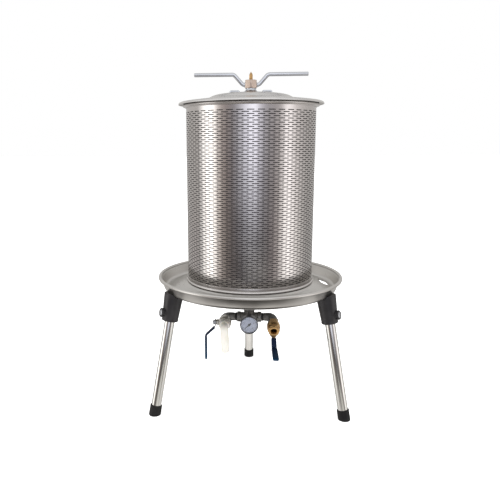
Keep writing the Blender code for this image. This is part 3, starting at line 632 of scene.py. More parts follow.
def combine(obj, tools, operation):
    """Join shapes to an object, or cut them away from it."""
    made = [plain_object("tool", shape, at) for shape, at in tools]
    for tool in made:
        modifier = obj.modifiers.new("combine", "BOOLEAN")
        modifier.operation = operation
        modifier.solver = "EXACT"
        modifier.object = tool
    apply_modifiers(obj)
    for tool in made:
        bpy.data.objects.remove(tool)
    obj.data.shade_smooth()
    obj.data.set_sharp_from_angle(angle=math.radians(SHARP))


def worked_piece(node, shape, at, tool_place, joined=None, cut=None):
    """A piece with one shape joined to it or cut away from it, or both in that order."""
    obj = plain_object("fine_" + node, shape, at)
    for operation, tool in (("UNION", joined), ("DIFFERENCE", cut)):
        if tool:
            combine(obj, [(tool, tool_place)], operation)
    return settle(obj, node)


def collar(inner, outer, start, end, radius=0.5):
    """The softened profile of a ring."""
    return soften([(inner, start), (outer, start), (outer, end), (inner, end)], radius)


# ---- tray

TRAY_LINE = [(17, TRAY_SEAT), (168, TRAY_SEAT, 8), (174, 327, 14),
             (214, 312.4, 40), (221.5, 311.2, 14), (228.5, 315.5, 14), (235.7, 337.6)]


def tray_profile():
    """The tray's sheet, from the centre hole out, and the bead rolled on its rim."""
    line = soften(TRAY_LINE, 4, closed=False, steps=6)
    upper, lower = offset_line(line, SHEET / 2), offset_line(line, -SHEET / 2)
    bead = arc((240.4, 342.1), 4.4, 206, -104, 26)
    crease = [(235.3, 339.4), (236, 340), (237.3, 339.9)]
    return upper + crease + bead + [(237.6, 338.2)] + lower[::-1]


def outlet_shape():
    """The oblong cutter for the outlet in the tray's floor."""
    end_radius, straight = 10.5, 14.5
    outline = []
    for k in range(32):
        angle = TURN * (k + 0.5) / 32
        shift = math.copysign(straight, math.sin(angle))
        outline.append((end_radius * math.cos(angle), shift + end_radius * math.sin(angle)))
    return prism(outline, 300, 336)


def build_tray():
    azimuth = math.radians(8)
    outlet = about(PRESS, (*polar(203, azimuth), 0), (*polar(1, azimuth), 0))
    worked_piece("juice_tray", lathe(tray_profile(), FINE), PRESS, outlet, cut=outlet_shape())
    piece("basket_gasket", lathe(collar(158, 164.9, 332.3, 334.4, 0.9), FINE))


# ---- basket

ROWS = 88
SLOTS = 42
FIELD_BOTTOM = 346.6
ROW_PITCH = 4.8
SLOT_LENGTH = 17.6
SLOT_HEIGHT = 2.1


def slot_outline():
    """A slot's outline, as steps of angle and height from its centre."""
    half_long = SLOT_LENGTH / 2 / BASKET_RADIUS
    flat = half_long - SLOT_HEIGHT * 0.38 / BASKET_RADIUS
    lower = [(flat * share, -SLOT_HEIGHT / 2) for share in (-1, -0.5, 0, 0.5, 1)]
    return lower + [(half_long, 0)] + [(u, -v) for u, v in lower[::-1]] + [(-half_long, 0)]


def sheet(angles, heights, surface, walls):
    """The basket's outer net of faces, given its thickness and walls along the edges named."""
    count = len(angles)
    angle, height = np.array(angles), np.array(heights)
    layers = [np.column_stack((radius * np.cos(angle), radius * np.sin(angle), height))
              for radius in (BASKET_RADIUS, BASKET_RADIUS - BASKET_WALL)]
    inner = [tuple(count + p for p in face[::-1]) for face in surface]
    return np.vstack(layers), surface + inner + [(a, b, count + b, count + a) for a, b in walls]


def basket_band(first_row, rows, low, high):
    """Part of the perforated wall: rows of oblong slots, staggered from row to row.

    Each slot sits in a cell. Cell corners fall on quarters of the pitch, so that a row's
    corners meet the middles of the cells above and below it.
    """
    quarters = SLOTS * 4
    quarter = TURN / SLOTS / 4
    slot = slot_outline()
    angles, heights = [], []

    def add(angle, height):
        angles.append(angle)
        heights.append(height)
        return len(angles) - 1

    def ring(height):
        return [add(q * quarter, height) for q in range(quarters)]

    bottom = FIELD_BOTTOM + first_row * ROW_PITCH
    lines = [ring(bottom + k * ROW_PITCH) for k in range(rows + 1)]
    surface, walls = [], []
    for k in range(rows):
        middle = bottom + (k + 0.5) * ROW_PITCH
        shift = (first_row + k) % 2 * 2
        sides = [add((4 * i + shift + 2) * quarter, middle) for i in range(SLOTS)]
        for i in range(SLOTS):
            centre = 4 * i + shift
            spread = [(centre + step) % quarters for step in (-2, -1, 0, 1, 2)]
            cell = [lines[k][q] for q in spread] + [sides[i]]
            cell += [lines[k + 1][q] for q in spread[::-1]] + [sides[i - 1]]
            hole = [add(centre * quarter + u, middle + v) for u, v in slot]
            for n, corner in enumerate(hole):
                m = (n + 1) % len(hole)
                surface.append((cell[n], cell[m], hole[m], corner))
                walls.append((corner, hole[m]))
    lower_rim = lines[0] if low is None else ring(low)
    upper_rim = lines[-1] if high is None else ring(high)
    for q in range(quarters):
        r = (q + 1) % quarters
        if low is not None:
            surface.append((lower_rim[q], lower_rim[r], lines[0][r], lines[0][q]))
        if high is not None:
            surface.append((lines[-1][q], lines[-1][r], upper_rim[r], upper_rim[q]))
        walls += [(lower_rim[r], lower_rim[q]), (upper_rim[q], upper_rim[r])]
    return sheet(angles, heights, surface, walls)


def build_basket():
    half = ROWS // 2
    for name, first, low, high in (("lower", 0, BASKET_BOTTOM, None),
                                   ("upper", half, None, BASKET_TOP)):
        wall = plain_object("basket_wall_" + name, basket_band(first, half, low, high), PRESS)
        settle(wall, "basket_shell")
    slots_end = FIELD_BOTTOM + ROWS * ROW_PITCH
    # A thin black sheet just inside the slotted wall: painted shade, standing in for the dark
    # inside of the basket seen through the slots.
    slot_shade_sheet = collar(162.9, 163.4, FIELD_BOTTOM - 4, slots_end + 4, 0)
    extra("basket_slot_shade_sheet", "basket_shell", lathe(slot_shade_sheet, FINE), finish="seal_rubber")
    near = BASKET_RADIUS + GAP
    base = [(near, 333.1, 0), (168.4, 333.1, 1.2), (169.5, 335, 1.2), (168.6, 337, 1),
            (166.6, 338.2, 1), (166.1, 345.4, 0.3), (near, 345.5, 0)]
    piece("basket_base_ring", turned(base, 1, FINE))
    low = BASKET_TOP - 7.5
    top = [(near, low, 0), (166.4, low, 0.4), (168, low + 1.6, 3), (172.6, low + 2.8, 3),
           (174.2, low + 4.8, 1.6), (172.9, BASKET_TOP - 0.1, 1.4), (near, BASKET_TOP, 0)]
    piece("basket_top_ring", turned(top, 1, FINE))


# ---- lid

LID_LINE = [(11.6, LID_TOP), (70, LID_TOP, 90), (95, 809.2, 60), (112, 800.4, 18),
            (178, 792, 5), (182.7, 790.2, 2.5), (183.6, 786.6)]


def build_lid():
    line = soften(LID_LINE, 10, closed=False, steps=8)
    profile = offset_line(line, SHEET / 2) + offset_line(line, -SHEET / 2)[::-1]
    piece("lid", lathe(profile, FINE))
    (r0, z0), (r1, z1) = LID_LINE[3][:2], LID_LINE[4][:2]
    slope = (z1 - z0) / (r1 - r0)
    under = z0 - math.hypot(1, slope) * SHEET / 2 - GAP
    near, far = 164, 172.0
    seal = [(near, BASKET_TOP + GAP), (far, BASKET_TOP + GAP),
            (far, under + (far - r0) * slope), (near, under + (near - r0) * slope)]
    piece("lid_gasket", turned(seal, 0.6, FINE))
    foot, rise = LID_TOP + SHEET / 2 + GAP, 6.6
    inner, outer = 30.5, 52.0
    for name, side in SIDES:
        corners = [(side * inner, 0, foot), (side * inner, 0, foot + rise),
                   (side * outer, 0, foot + rise), (side * outer, 0, foot)]
        piece("lid_handle_" + name,
              rod(rounded_path(corners, 3), 2.6, (False, False)))
        for end, reach in (("inner", inner), ("outer", outer)):
            boss = [(0, 0), (3.9, 0), (3.9, 0.7), (2.65, 1.4), (0, 1.4)]
            extra("lid_handle_boss_%s_%s" % (name, end), "lid_handle_" + name,
                  turned(boss, 0.4, SMALL), about(PRESS, (side * reach, 0, foot)))


# ---- centre

def build_centre():
    neck = [(8, 240.8), (14, 240.8), (15, 242.3), (15, 299.7), (8, 299.7)]
    piece("neck_pipe", turned(neck, 0.8))
    flange = [(10.4, 300), (22, 300, 1.5), (22, 323, 4), (60, 323, 1),
              (60, 329.7, 1), (10.4, 329.7)]
    piece("base_flange", turned(flange, 0.5))
    tube = [(4, 306), (9.4, 306), (10, 306.8), (10, 821.6)]
    tube += ridges(10, -0.55, 822, 846.2, 1.8) + [(9.4, 847), (4, 847)]
    port = about(PRESS, (0, 0, 400), (0, 1, 0), (1, 0, 0))
    worked_piece("centre_tube", lathe(tube), PRESS, port, cut=plug(3, -15, 15))
    for name, low, high in (("lower", 332.3, 341.2), ("upper", 772.8, 781)):
        plate = [(10.4, low), (50, low, 1.5), (50, high, 1.5), (30, high, 2),
                 (28, high - 1, 2), (18, high - 1, 2), (16, high, 2),
                 (10.4, high)]
        piece("bladder_%s_clamp" % name, turned(plate, 0.5))
    build_bladder()


def build_bladder():
    """The rubber sleeve. Slack, it lies in shallow upright folds between its clamped ends."""
    low, high = 341.5, 772.5
    outer = [(48, low), (54.5, low + 4, 3), (57, low + 14, 8),
             (57, high - 14, 8), (54.5, high - 4, 3), (48, high)]
    side = soften(outer, 3, closed=False, steps=6)
    tall = []
    for first, second in zip(side, side[1:]):
        parts = max(1, int(abs(second[1] - first[1]) / 20))
        tall += [(first[0] + (second[0] - first[0]) * k / parts,
                  first[1] + (second[1] - first[1]) * k / parts) for k in range(parts)]
    tall.append(side[-1])
    inner = [(r - 4, z) for r, z in reversed(tall)]

    def folds(angle, height):
        fade = min((height - low) / 60, (high - height) / 60, 1)
        depth = 0.022 * max(fade, 0)
        wander = 0.35 * math.sin(height / 47)
        return 1.0 - depth * (0.5 + 0.5 * math.cos(10 * (angle + wander * 0.3))
                              * (0.75 + 0.25 * math.sin(3 * angle + height / 60)))

    piece("bladder", lathe(tall + inner, FINE, folds))


# ---- handle and vent

def build_handle():
    flare = [(13.0 + 12.3 * (1.0 - k / 12) ** 2.4, 816.2 + 10.8 * k / 12) for k in range(13)]
    cone = [(10.4, 814.3), (26, 814.3), (26.5, 814.8), (26.5, 815.4), (26, 815.9)]
    piece("thrust_cone", lathe(cone + flare + [(12.4, 827), (10.4, 827)]))
    hub = [(10.4, 827.3), (13.9, 827.3)] + hexagon(14.5, 827.5, 847.8, 1.5)
    hub += [(13.9, 848), (11.4, 848), (10.4, 847.2)]
    piece("handle_hub", lathe(hub))
    start, root, level = 14.8, 836, 861.5
    lengthwise = ((0, 0, 1), (1, 0, 0))     # axes that let the brushed grain follow the arms
    for name, side in SIDES:
        corners = [(side * start, 0, root), (side * 20, 0, root), (side * 43, 0, level),
                   (side * 144, 0, level)]
        path = rounded_path(corners, 12, 12)
        arm = plain_object("fine_handle_arm_" + name, rod(path, 5, (False, True)))
        arm.data.transform(about(Matrix.Identity(4), (0, 0, 0), *lengthwise).inverted())
        arm.matrix_world = about(PRESS, (0, 0, 0), *lengthwise)
        settle(arm, "handle_arm_" + name)
        weld = [(0, 0), (6.4, 0), (6.2, 1.4, 1), (5.05, 2.4), (0, 2.4)]
        extra("handle_weld_" + name, "handle_arm_" + name, turned(weld, 0.4, SMALL),
              about(PRESS, (side * start, 0, root), (0, 0, 1), (side, 0, 0)))


def build_vent():
    seat = 847.3
    body = [(0, 840.3), (3.6, 840.3), (3.7, 840.6), (3.7, seat), (4.8, seat), (5, seat + 0.3),
            (5, seat + 2.8), (4.6, seat + 3.2)]
    body += hexagon(4.4, seat + 3.5, 861, 0.6)
    body += [(3.8, 862), (2.2, 862), (2.2, 854), (0, 854)]
    piece("vent_body", lathe(body, MEDIUM))
    screw = [(0, 855), (1.9, 855), (1.9, 862.3), (3.1, 862.3), (3.4, 862.7), (3.4, 863.7),
             (3, 864.2), (2, 864.8), (1.5, 866), (0.9, 867.7), (0.5, 868), (0, 868)]
    piece("vent_screw", lathe(screw, SMALL))


# ---- legs

ENVELOPE = [(17, 329.7), (167.6, 329.7), (173.4, 325.8), (213.6, 311.1), (221.9, 309.85),
            (229.6, 314.6), (231.5, 320), (300, 326)]


SOCKET_START = 252.0
KNOB_HEIGHT = 272.0


def room_over(point):
    """How far a point in the press's frame lies below the tray, in millimetres."""
    radius = math.hypot(point.x, point.y) / MM
    limit = float(np.interp(radius, [r for r, _ in ENVELOPE], [z for _, z in ENVELOPE]))
    return limit - point.z / MM


def trimmed(place, angle, radius_at):
    """Where a line up the socket's side, or inside it, meets the tray's underside."""
    low, high = SOCKET_START, 340.0
    for _ in range(24):         # halvings of the gap between low and high
        height = (low + high) / 2
        radius = radius_at(height)
        local = Vector((*polar(radius, angle), height)) * MM
        if room_over(PRESS.inverted() @ (place @ local)) > 0.0:
            low = height
        else:
            high = height
    return low


def socket_shape(place):
    """A tapered sleeve, closed at the top where it fits up against the tray."""
    segments, rows, caps = 96, 14, 10
    angles = [TURN * k / segments for k in range(segments)]
    foot = [(13.3, 296.3), (13.3, 253), (14, 252.2), (18.6, 252), (20, 252.3),
            (20.9, 253.2), (21.1, 254.6), (21, 257.4), (20.85, 258.2)]
    side_start = 258.6

    def ring(radii, heights):
        return [(*polar(r, angle), z) for r, angle, z in zip(radii, angles, heights)]

    def side(height):
        return 20.5 + (height - SOCKET_START) * 5.3 / 88.0

    rings = [[(0, 0, foot[0][1])]]
    rings += [ring([r] * segments, [z] * segments) for r, z in foot]
    tops = [trimmed(place, angle, side) for angle in angles]
    for row in range(1, rows + 1):
        heights = [side_start + (top - 0.6 - side_start) * row / rows for top in tops]
        rings.append(ring([side(z) for z in heights], heights))
    for cap in range(caps):
        factor = 0.97 - 0.9 * cap / (caps - 1) if cap else 0.978
        radii = [side(top) * factor for top in tops]
        heights = [trimmed(place, angle, lambda _: radius) - 0.05
                   for angle, radius in zip(angles, radii)]
        rings.append(ring(radii, heights))
    rings.append([(0, 0, trimmed(place, 0, lambda _: 0))])
    points, numbered = number_rings(rings)
    return points, skin(numbered, loop=False)


KNOB_LINE = [(0, 13.4), (4, 13.4), (4, 23.4, 0), (10.6, 23.4, 0.6), (12, 24.6, 1.2),
             (12, 27.4, 1.2), (10.4, 29, 1.6), (7.8, 29, 0.5), (7.6, 28, 0.3),
             (0, 28)]


FLUTES = 18


def flutes(angle, height):
    """Shallow finger flutes round the knob's rim."""
    if height < 24.0 or height > 28.6:
        return 1.0
    return 1.0 - 0.022 * (0.5 + 0.5 * math.cos(FLUTES * angle))


def foot_cap_shape(place):
    """A rubber cap whose bottom is cut level with the floor."""
    up = place.to_3x3().transposed() @ UP
    bore_end = 4.7
    inside = [(0, bore_end), (13.3, bore_end), (13.3, 27)]
    lip = arc((14.4, 26), 1, 90, 0, 5)
    side = [(15.4, 22.4), (15.15, 21.9), (15.15, 21.3), (15.4, 20.8), (15.4, 18),
            (15.15, 17.5), (15.15, 16.9), (15.4, 16.4), (15.5, 4), (15.3, 1.4), (14.6, 0.4),
            (13.6, 0), (0, 0)]
    points, faces = lathe(inside + lip + side)
    slanted = []
    for x, y, z in points:
        fade = max(1.0 - z / bore_end, 0)
        slanted.append((x, y, z - fade * (x * up.x + y * up.y) / up.z))
    return slanted, faces


def build_leg(name, azimuth):
    place = leg_place(azimuth)
    knob_place = sideways(place, KNOB_HEIGHT)
    pad = [(0, 14.6), (11.2, 14.6, 0), (10.2, 22.6, 0.8), (0, 22.6)]
    worked_piece("leg_socket_" + name, socket_shape(place), place, knob_place,
                 turned(pad, 0.5, MEDIUM), plug(4.4, 8, 30))
    tube = [(11.5, 5), (13, 5), (13, 296), (11.5, 296)]
    along = (place.to_3x3() @ UP).normalized()
    square = about(Matrix.Translation(place.translation), z_axis=along,
                   x_axis=Vector((1, 0, 0)) - along * along.x)
    piece("leg_tube_" + name, turned(tube, 0.5), square)
    cap = plain_object("fine_foot_cap_" + name, foot_cap_shape(square))
    cap.data.transform(square)
    settle(cap, "foot_cap_" + name)
    piece("leg_knob_" + name, turned(KNOB_LINE, 0.6, FLUTES * 6, flutes), knob_place)
    dome = [(0, 28.05), (7.3, 28.05)]
    dome += [(7.4 * math.cos(a), 28.2 + 1.2 * math.sin(a)) for a in (0, 0.3, 0.6, 0.9, 1.2, 1.45)]
    extra("leg_knob_cap_" + name, "leg_knob_" + name, lathe(dome + [(0, 29.4)], SMALL),
          knob_place, "handle_steel")


# ---- manifold

def build_cross():
    """The cast five-way body: neck above, a branch each side, the gauge in front."""
    side_place = sideways(MANIFOLD)
    nose_place = about(MANIFOLD, z_axis=(0, -1, 0))
    barrel = [(0, -33), (14.3, -33, 1), (14.3, -23.6, 1.2), (12.6, -22, 1.5),
              (12.6, 22, 1.5), (14.3, 23.6, 1.2), (14.3, 33, 1), (0, 33)]
    post = [(0, -1), (12.4, -1), (12.4, 10.6, 1.2), (14.3, 12, 1), (14.3, 16.5, 1),
            (0, 16.5)]
    nose = [(0, -1.5), (11.4, -1.5), (11.4, 22, 1.2), (0, 22)]
    cross = plain_object("fine_water_cross", turned(barrel, 0.6), side_place)
    combine(cross, [(turned(post, 0.6), MANIFOLD), (turned(nose, 0.6), nose_place)], "UNION")
    combine(cross, [(plug(8, -38, 38), side_place), (plug(7, 2, 22), MANIFOLD),
                    (plug(4, 3, 27), nose_place)], "DIFFERENCE")
    remesh = cross.modifiers.new("cast", "REMESH")
    remesh.mode = "VOXEL"
    remesh.voxel_size = 0.55 * MM
    smooth = cross.modifiers.new("worn", "SMOOTH")
    smooth.factor = 0.5
    smooth.iterations = 4
    apply_modifiers(cross)
    cross.data.shade_smooth()
    settle(cross, "water_cross")
    for name, start, end in (("left", -37.8, -33.3), ("right", 33.3, 37.8)):
        ring = collar(8, 11.4, start, end, 1)
        piece("seal_ring_" + name, lathe(ring), side_place)


def build_elbow(name, side, branch):
    """A street elbow: in along the manifold, out towards the front."""
    corners = [(side * 38.1, 0, 0), (side * 64.5, 0, 0), (side * 64.5, -21, 0)]
    path = rounded_path(corners, 14, 14)
    last, ahead = path[-1]
    first, inward = path[0]
    path[0:1] = [(first, inward), (first + inward * 0.8, inward)]
    outer = [10, 10.7] + [11.7] * (len(path) - 2)
    grow = [(0, 12.6), (0.8, 13.8), (2, 14.3), (10, 14.3), (10.7, 14), (11, 13.5)]
    path += [(last + ahead * step, ahead) for step, _ in grow]
    outer += [radius for _, radius in grow]
    piece(name, hollow(path, outer, 8, (0, 0, 1)), branch)


def build_valve(prefix, place, stem_place):
    body = [(8.5, 0), (12.6, 0)] + hexagon(14, 0.2, 8.9, 1.2) + [(12.8, 9.5)]
    shell = [(12.8, 9.5, 0.5), (15.4, 10.2, 2), (17.4, 13, 2.5), (17.5, 26, 2.5),
             (15.9, 29.6, 2), (15.3, 30.6, 0.6), (15.3, 34, 0.8)]
    body += soften(shell, 0.6, closed=False)[1:]
    body += [(12.2, 34), (12.2, 28.9), (10.9, 28.9), (10.9, 9.5), (8.5, 9.5)]
    boss = [(0, 12.5), (8, 12.5, 0), (7.6, 21.5, 0.9), (0, 21.5)]
    worked_piece(prefix + "_valve_body", lathe(body), place, sideways(place, BALL_CENTRE),
                 turned(boss, 0.5, MEDIUM), plug(4.4, 8.9, 25.5))

    end = [(7.5, 29.2), (11.9, 29.2), (11.9, 34.3), (13.7, 34.3)]
    end += hexagon(14.4, 34.5, 41.8, 1) + [(13.5, 42.3), (13.3, 42.7), (13.5, 43.1)]
    end += arc((13.3, 45.3), 0.7, 0, 90, 4) + [(9.6, 46)]
    end += ridges(8.6, 0.55, 45.2, 36.2, 1.8) + [(8.5, 35.8), (7.5, 35.8)]
    piece(prefix + "_valve_end", lathe(end), place)

    ball_radius, steps = 10.4, 28
    start = math.asin(6.5 / ball_radius)
    ball = []
    for k in range(steps + 1):
        angle = start + (math.pi - 2.0 * start) * k / steps
        ball.append((ball_radius * math.sin(angle), -ball_radius * math.cos(angle)))
    piece(prefix + "_valve_ball", lathe(ball), sideways(stem_place))
    stem = [(0, 11), (3.6, 11), (4, 11.4), (4, 21.8), (6, 21.8)]
    stem += hexagon(6.2, 21.9, 23.8, 0.4) + [(5.6, 23.9), (3, 23.9)]
    stem += ridges(3, -0.35, 24.4, 31.6, 1) + [(2.6, 32.3), (2.2, 32.5), (0, 32.5)]
    piece(prefix + "_valve_stem", lathe(stem, MEDIUM), stem_place)
    nut = [(3.4, 27), (4.6, 27)] + hexagon(5, 27.1, 31.1, 0.5) + [(4.6, 31.2), (3.4, 31.2)]
    piece(prefix + "_lever_nut", lathe(nut, MEDIUM), stem_place)


def lever_width(x):
    """The flat bar's width along its straight root: a round head that narrows to the shank."""
    head_end, head_radius, head_width, shank = 2, 9, 17.54, 11
    if x < head_end:
        return 2.0 * math.sqrt(max(head_radius ** 2 - x * x, 4))
    t = min((x - head_end) / 9, 1)
    ease = t * t * (3.0 - 2.0 * t)
    return head_width + (shank - head_width) * ease


def build_lever(prefix, place, length, rise):
    """A cranked flat lever and the sleeve dipped over it."""
    thickness, corner = 2.5, 0.45
    height = 24.2 + thickness / 2
    crank_end = 12.0 + rise * 0.95
    corners = [(-9, 0, height), (12, 0, height), (crank_end, 0, height + rise),
               (length, 0, height + rise)]
    steps = 10
    path = rounded_path(corners, 6, steps)
    ahead = path[0][1]
    head = [-8.9, -8.6, -8.1, -7.2, -6, -4.4, -2.4, 0, 2, 3.5, 5, 6.5]
    first_bend = path[1][0].x
    path[:1] = [(Vector((x, 0, height)), ahead) for x in head if x < first_bend - 0.5]
    stations = [(p, d, slab(lever_width(p.x), thickness, corner)) for p, d in path]
    worked_piece(prefix + "_lever", sweep(stations), place, place, cut=plug(3.3, 20, 30))

    within = path[-steps - 3:]  # the sleeve starts where the first bend ends
    end, ahead = within[-1]
    slot = slab(11.6, 3.1, 0.3)
    inside = [(end + ahead * GAP, ahead, slot)] + [(p, d, slot) for p, d in within[-2::-1]]
    lip = [(0, 12.6, 4.2), (0.5, 13.4, 5), (1.4, 13.7, 5.3)]
    start, leave = within[0]
    outside = [(start + leave * step, leave, slab(w, t, min(1.6, t / 2 - 0.1)))
               for step, w, t in lip]
    outside += [(p, d, slab(14, 5.4, 1.9)) for p, d in within[1:-2]]
    bend = within[-2][0]
    outside.append((bend, ahead, slab(14.4, 5.5, 2)))
    swell = [(4, 15.2, 5.7), (9, 16, 6), (16, 15.8, 6)]
    outside += [(bend + ahead * step, ahead, slab(w, t, 2.2)) for step, w, t in swell]
    tip = [(-6, 16, 6), (-3, 15.8, 6), (0, 15, 5.8), (1.5, 13.6, 5.2),
           (2.5, 11.2, 4.2), (3, 8.4, 2.8)]
    outside += [(end + ahead * step, ahead, slab(w, t, min(2.2, t / 2 - 0.1)))
                for step, w, t in tip]
    piece(prefix + "_lever_grip", sweep(inside + outside), place)


def build_spout():
    """The hose tail on the drain valve: forward out of the valve, then down."""
    start = 46.3
    lean = math.radians(3)
    ahead = UP
    down = Vector((-math.sin(lean), math.cos(lean), 0))
    corners = [ahead * (start + 8), ahead * 62, ahead * 62 + down * 67]
    path = rounded_path(corners, 7, 14)
    last = path.pop()[0]
    lead = [(0, 12.4), (0.4, 13), (7, 13), (7.7, 12.6), (8, 11.6)]
    stations = [(ahead * (start + step), ahead) for step, _ in lead]
    outer = [radius for _, radius in lead]
    stations += path[1:]
    outer += [11] * (len(path) - 1)
    run = (last - path[-1][0]).length
    taper = [(run - 30, 10.8), (run - 2, 9.8), (run - 0.9, 9.5), (run - 0.2, 8.9), (run, 8.2)]
    stations += [(path[-1][0] + down * step, down) for step, _ in taper]
    outer += [radius for _, radius in taper]
    piece("drain_spout", hollow(stations, outer, 6.5, ahead.cross(down)), DRAIN, sharp=50)


# ---- gauge

SCALE_START = 224.0
SCALE_SWEEP = 270.0


def mark_shape(angle, inner, outer, width):
    """One raised line on the dial."""
    c, s = math.cos(angle), math.sin(angle)
    points = []
    for z in (49.05, 49.2):
        for r, w in ((inner, -width), (outer, -width), (outer, width), (inner, width)):
            points.append((r * c - w / 2 * s, r * s + w / 2 * c, z))
    faces = [(0, 1, 2, 3), (4, 5, 6, 7), (0, 1, 5, 4), (1, 2, 6, 5), (2, 3, 7, 6), (3, 0, 4, 7)]
    return points, faces


def join_shapes(shapes):
    points, faces = [], []
    for some_points, some_faces in shapes:
        base = len(points)
        points += some_points
        faces += [tuple(base + p for p in face) for face in some_faces]
    return points, faces


def build_dial_marks():
    lines = []
    steps = 40
    for k in range(steps + 1):
        angle = math.radians(SCALE_START - SCALE_SWEEP * k / steps)
        major, medium = k % 10 == 0, k % 5 == 0
        inner = 15.6 if major else 17.2 if medium else 18.0
        width = 0.75 if major else 0.5 if medium else 0.32
        lines.append(mark_shape(angle, inner, 19.8, width))
    ring = 96
    for k in range(ring):
        first = math.radians(SCALE_START - SCALE_SWEEP * (k + 0.5) / ring)
        lines.append(mark_shape(first, 19.7, 20.1, SCALE_SWEEP / ring * 0.37))
    extra("gauge_scale", "gauge_dial", join_shapes(lines), GAUGE, "needle_black")
    for value in range(5):
        text = bpy.data.curves.new("gauge_number_%d" % value, "FONT")
        text.body = str(value)
        text.align_x = "CENTER"
        text.align_y = "CENTER"
        text.size = 5.2 * MM
        text.extrude = 0.07 * MM
        angle = math.radians(SCALE_START - SCALE_SWEEP * value / 4)
        holder = linked("gauge_number_source", text)
        mesh = evaluated_mesh(holder)
        bpy.data.objects.remove(holder)
        number = linked("gauge_number_%d" % value, mesh)
        number.matrix_world = about(GAUGE, (*polar(12.4, angle), 49.12))
        settle(number, "gauge_dial", "needle_black", stands_in=False)


def build_gauge():
    stem = [(0, 0.3), (5.5, 0.3), (5.5, 6), (6.4, 6.4)] + hexagon(7, 6.6, 15.3, 0.8)
    stem += [(6.4, 15.5), (5.5, 16), (5.5, 29.4), (0, 29.4)]
    piece("gauge_stem", lathe(stem, MEDIUM), GAUGE)
    case = [(0, 31.7), (22.2, 31.7, 0.5), (22.2, 53.2, 0.8), (23, 54, 0.6),
            (23.9, 53.7, 0.8), (24, 49.8, 0.4), (23.2, 49.4, 0.2), (23.2, 32.6, 1.6),
            (21.4, 29.7, 1.6), (0, 29.7)]
    piece("gauge_case", turned(case, 0.5, FINE), GAUGE)
    piece("gauge_dial", lathe(collar(1.5, 21.9, 48, 49, 0.3), FINE), GAUGE)
    pane = [(0, 51.6), (21.9, 51.6, 0.4), (21.9, 53.1, 0.5), (0, 53.2)]
    piece("gauge_window", turned(pane, 0.3, FINE), GAUGE)
    build_dial_marks()
    needle_place = about(GAUGE, (0, 0, 0), (*polar(1, math.radians(SCALE_START)), 0))
    outline = [(15.5, 0), (9, 0.7), (4, 1.5), (0, 1.7), (-3, 1.5), (-6, 2),
               (-6, -2), (-3, -1.5), (0, -1.7), (4, -1.5), (9, -0.7)]
    hub = [(0, 46), (1, 46), (1, 49.9), (3.2, 49.9), (3.2, 50.9, 0.5), (0, 50.9)]
    worked_piece("gauge_needle", prism(outline, 50, 50.5), needle_place, needle_place,
                 turned(hub, 0.2, SMALL))


def build_manifold():
    build_cross()
    build_gauge()
    build_elbow("elbow_left", -1, MANIFOLD)
    build_elbow("elbow_right", 1, INLET_BRANCH)
    build_valve("drain", DRAIN, DRAIN_STEM)
    build_valve("inlet", INLET, INLET_STEM)
    build_lever("drain", DRAIN_STEM, 101, 25)
    build_lever("inlet", INLET_STEM, 86, 20.5)
    build_spout()


# ---- studio

CAMERA_DISTANCE = 1.4564
CAMERA_HEIGHT = 0.6887
CAMERA_PITCH = math.radians(10.84)
CAMERA_YAW = math.radians(3.87)
CAMERA_ROLL = math.radians(-0.3)


def build_camera():
    data = bpy.data.cameras.new("photo_camera")
    data.sensor_width = 36.0
    data.lens = 39.74
    data.shift_x = 0.074
    data.clip_start = 0.05
    data.clip_end = 60.0
    camera = linked("photo_camera", data)
    place = PRESS.translation + Vector((0, -CAMERA_DISTANCE, CAMERA_HEIGHT))
    camera.matrix_world = (Matrix.Translation(place) @ Matrix.Rotation(CAMERA_YAW, 4, "Z")
                           @ Matrix.Rotation(math.pi / 2 - CAMERA_PITCH, 4, "X")
                           @ Matrix.Rotation(CAMERA_ROLL, 4, "Z"))
    bpy.context.scene.camera = camera


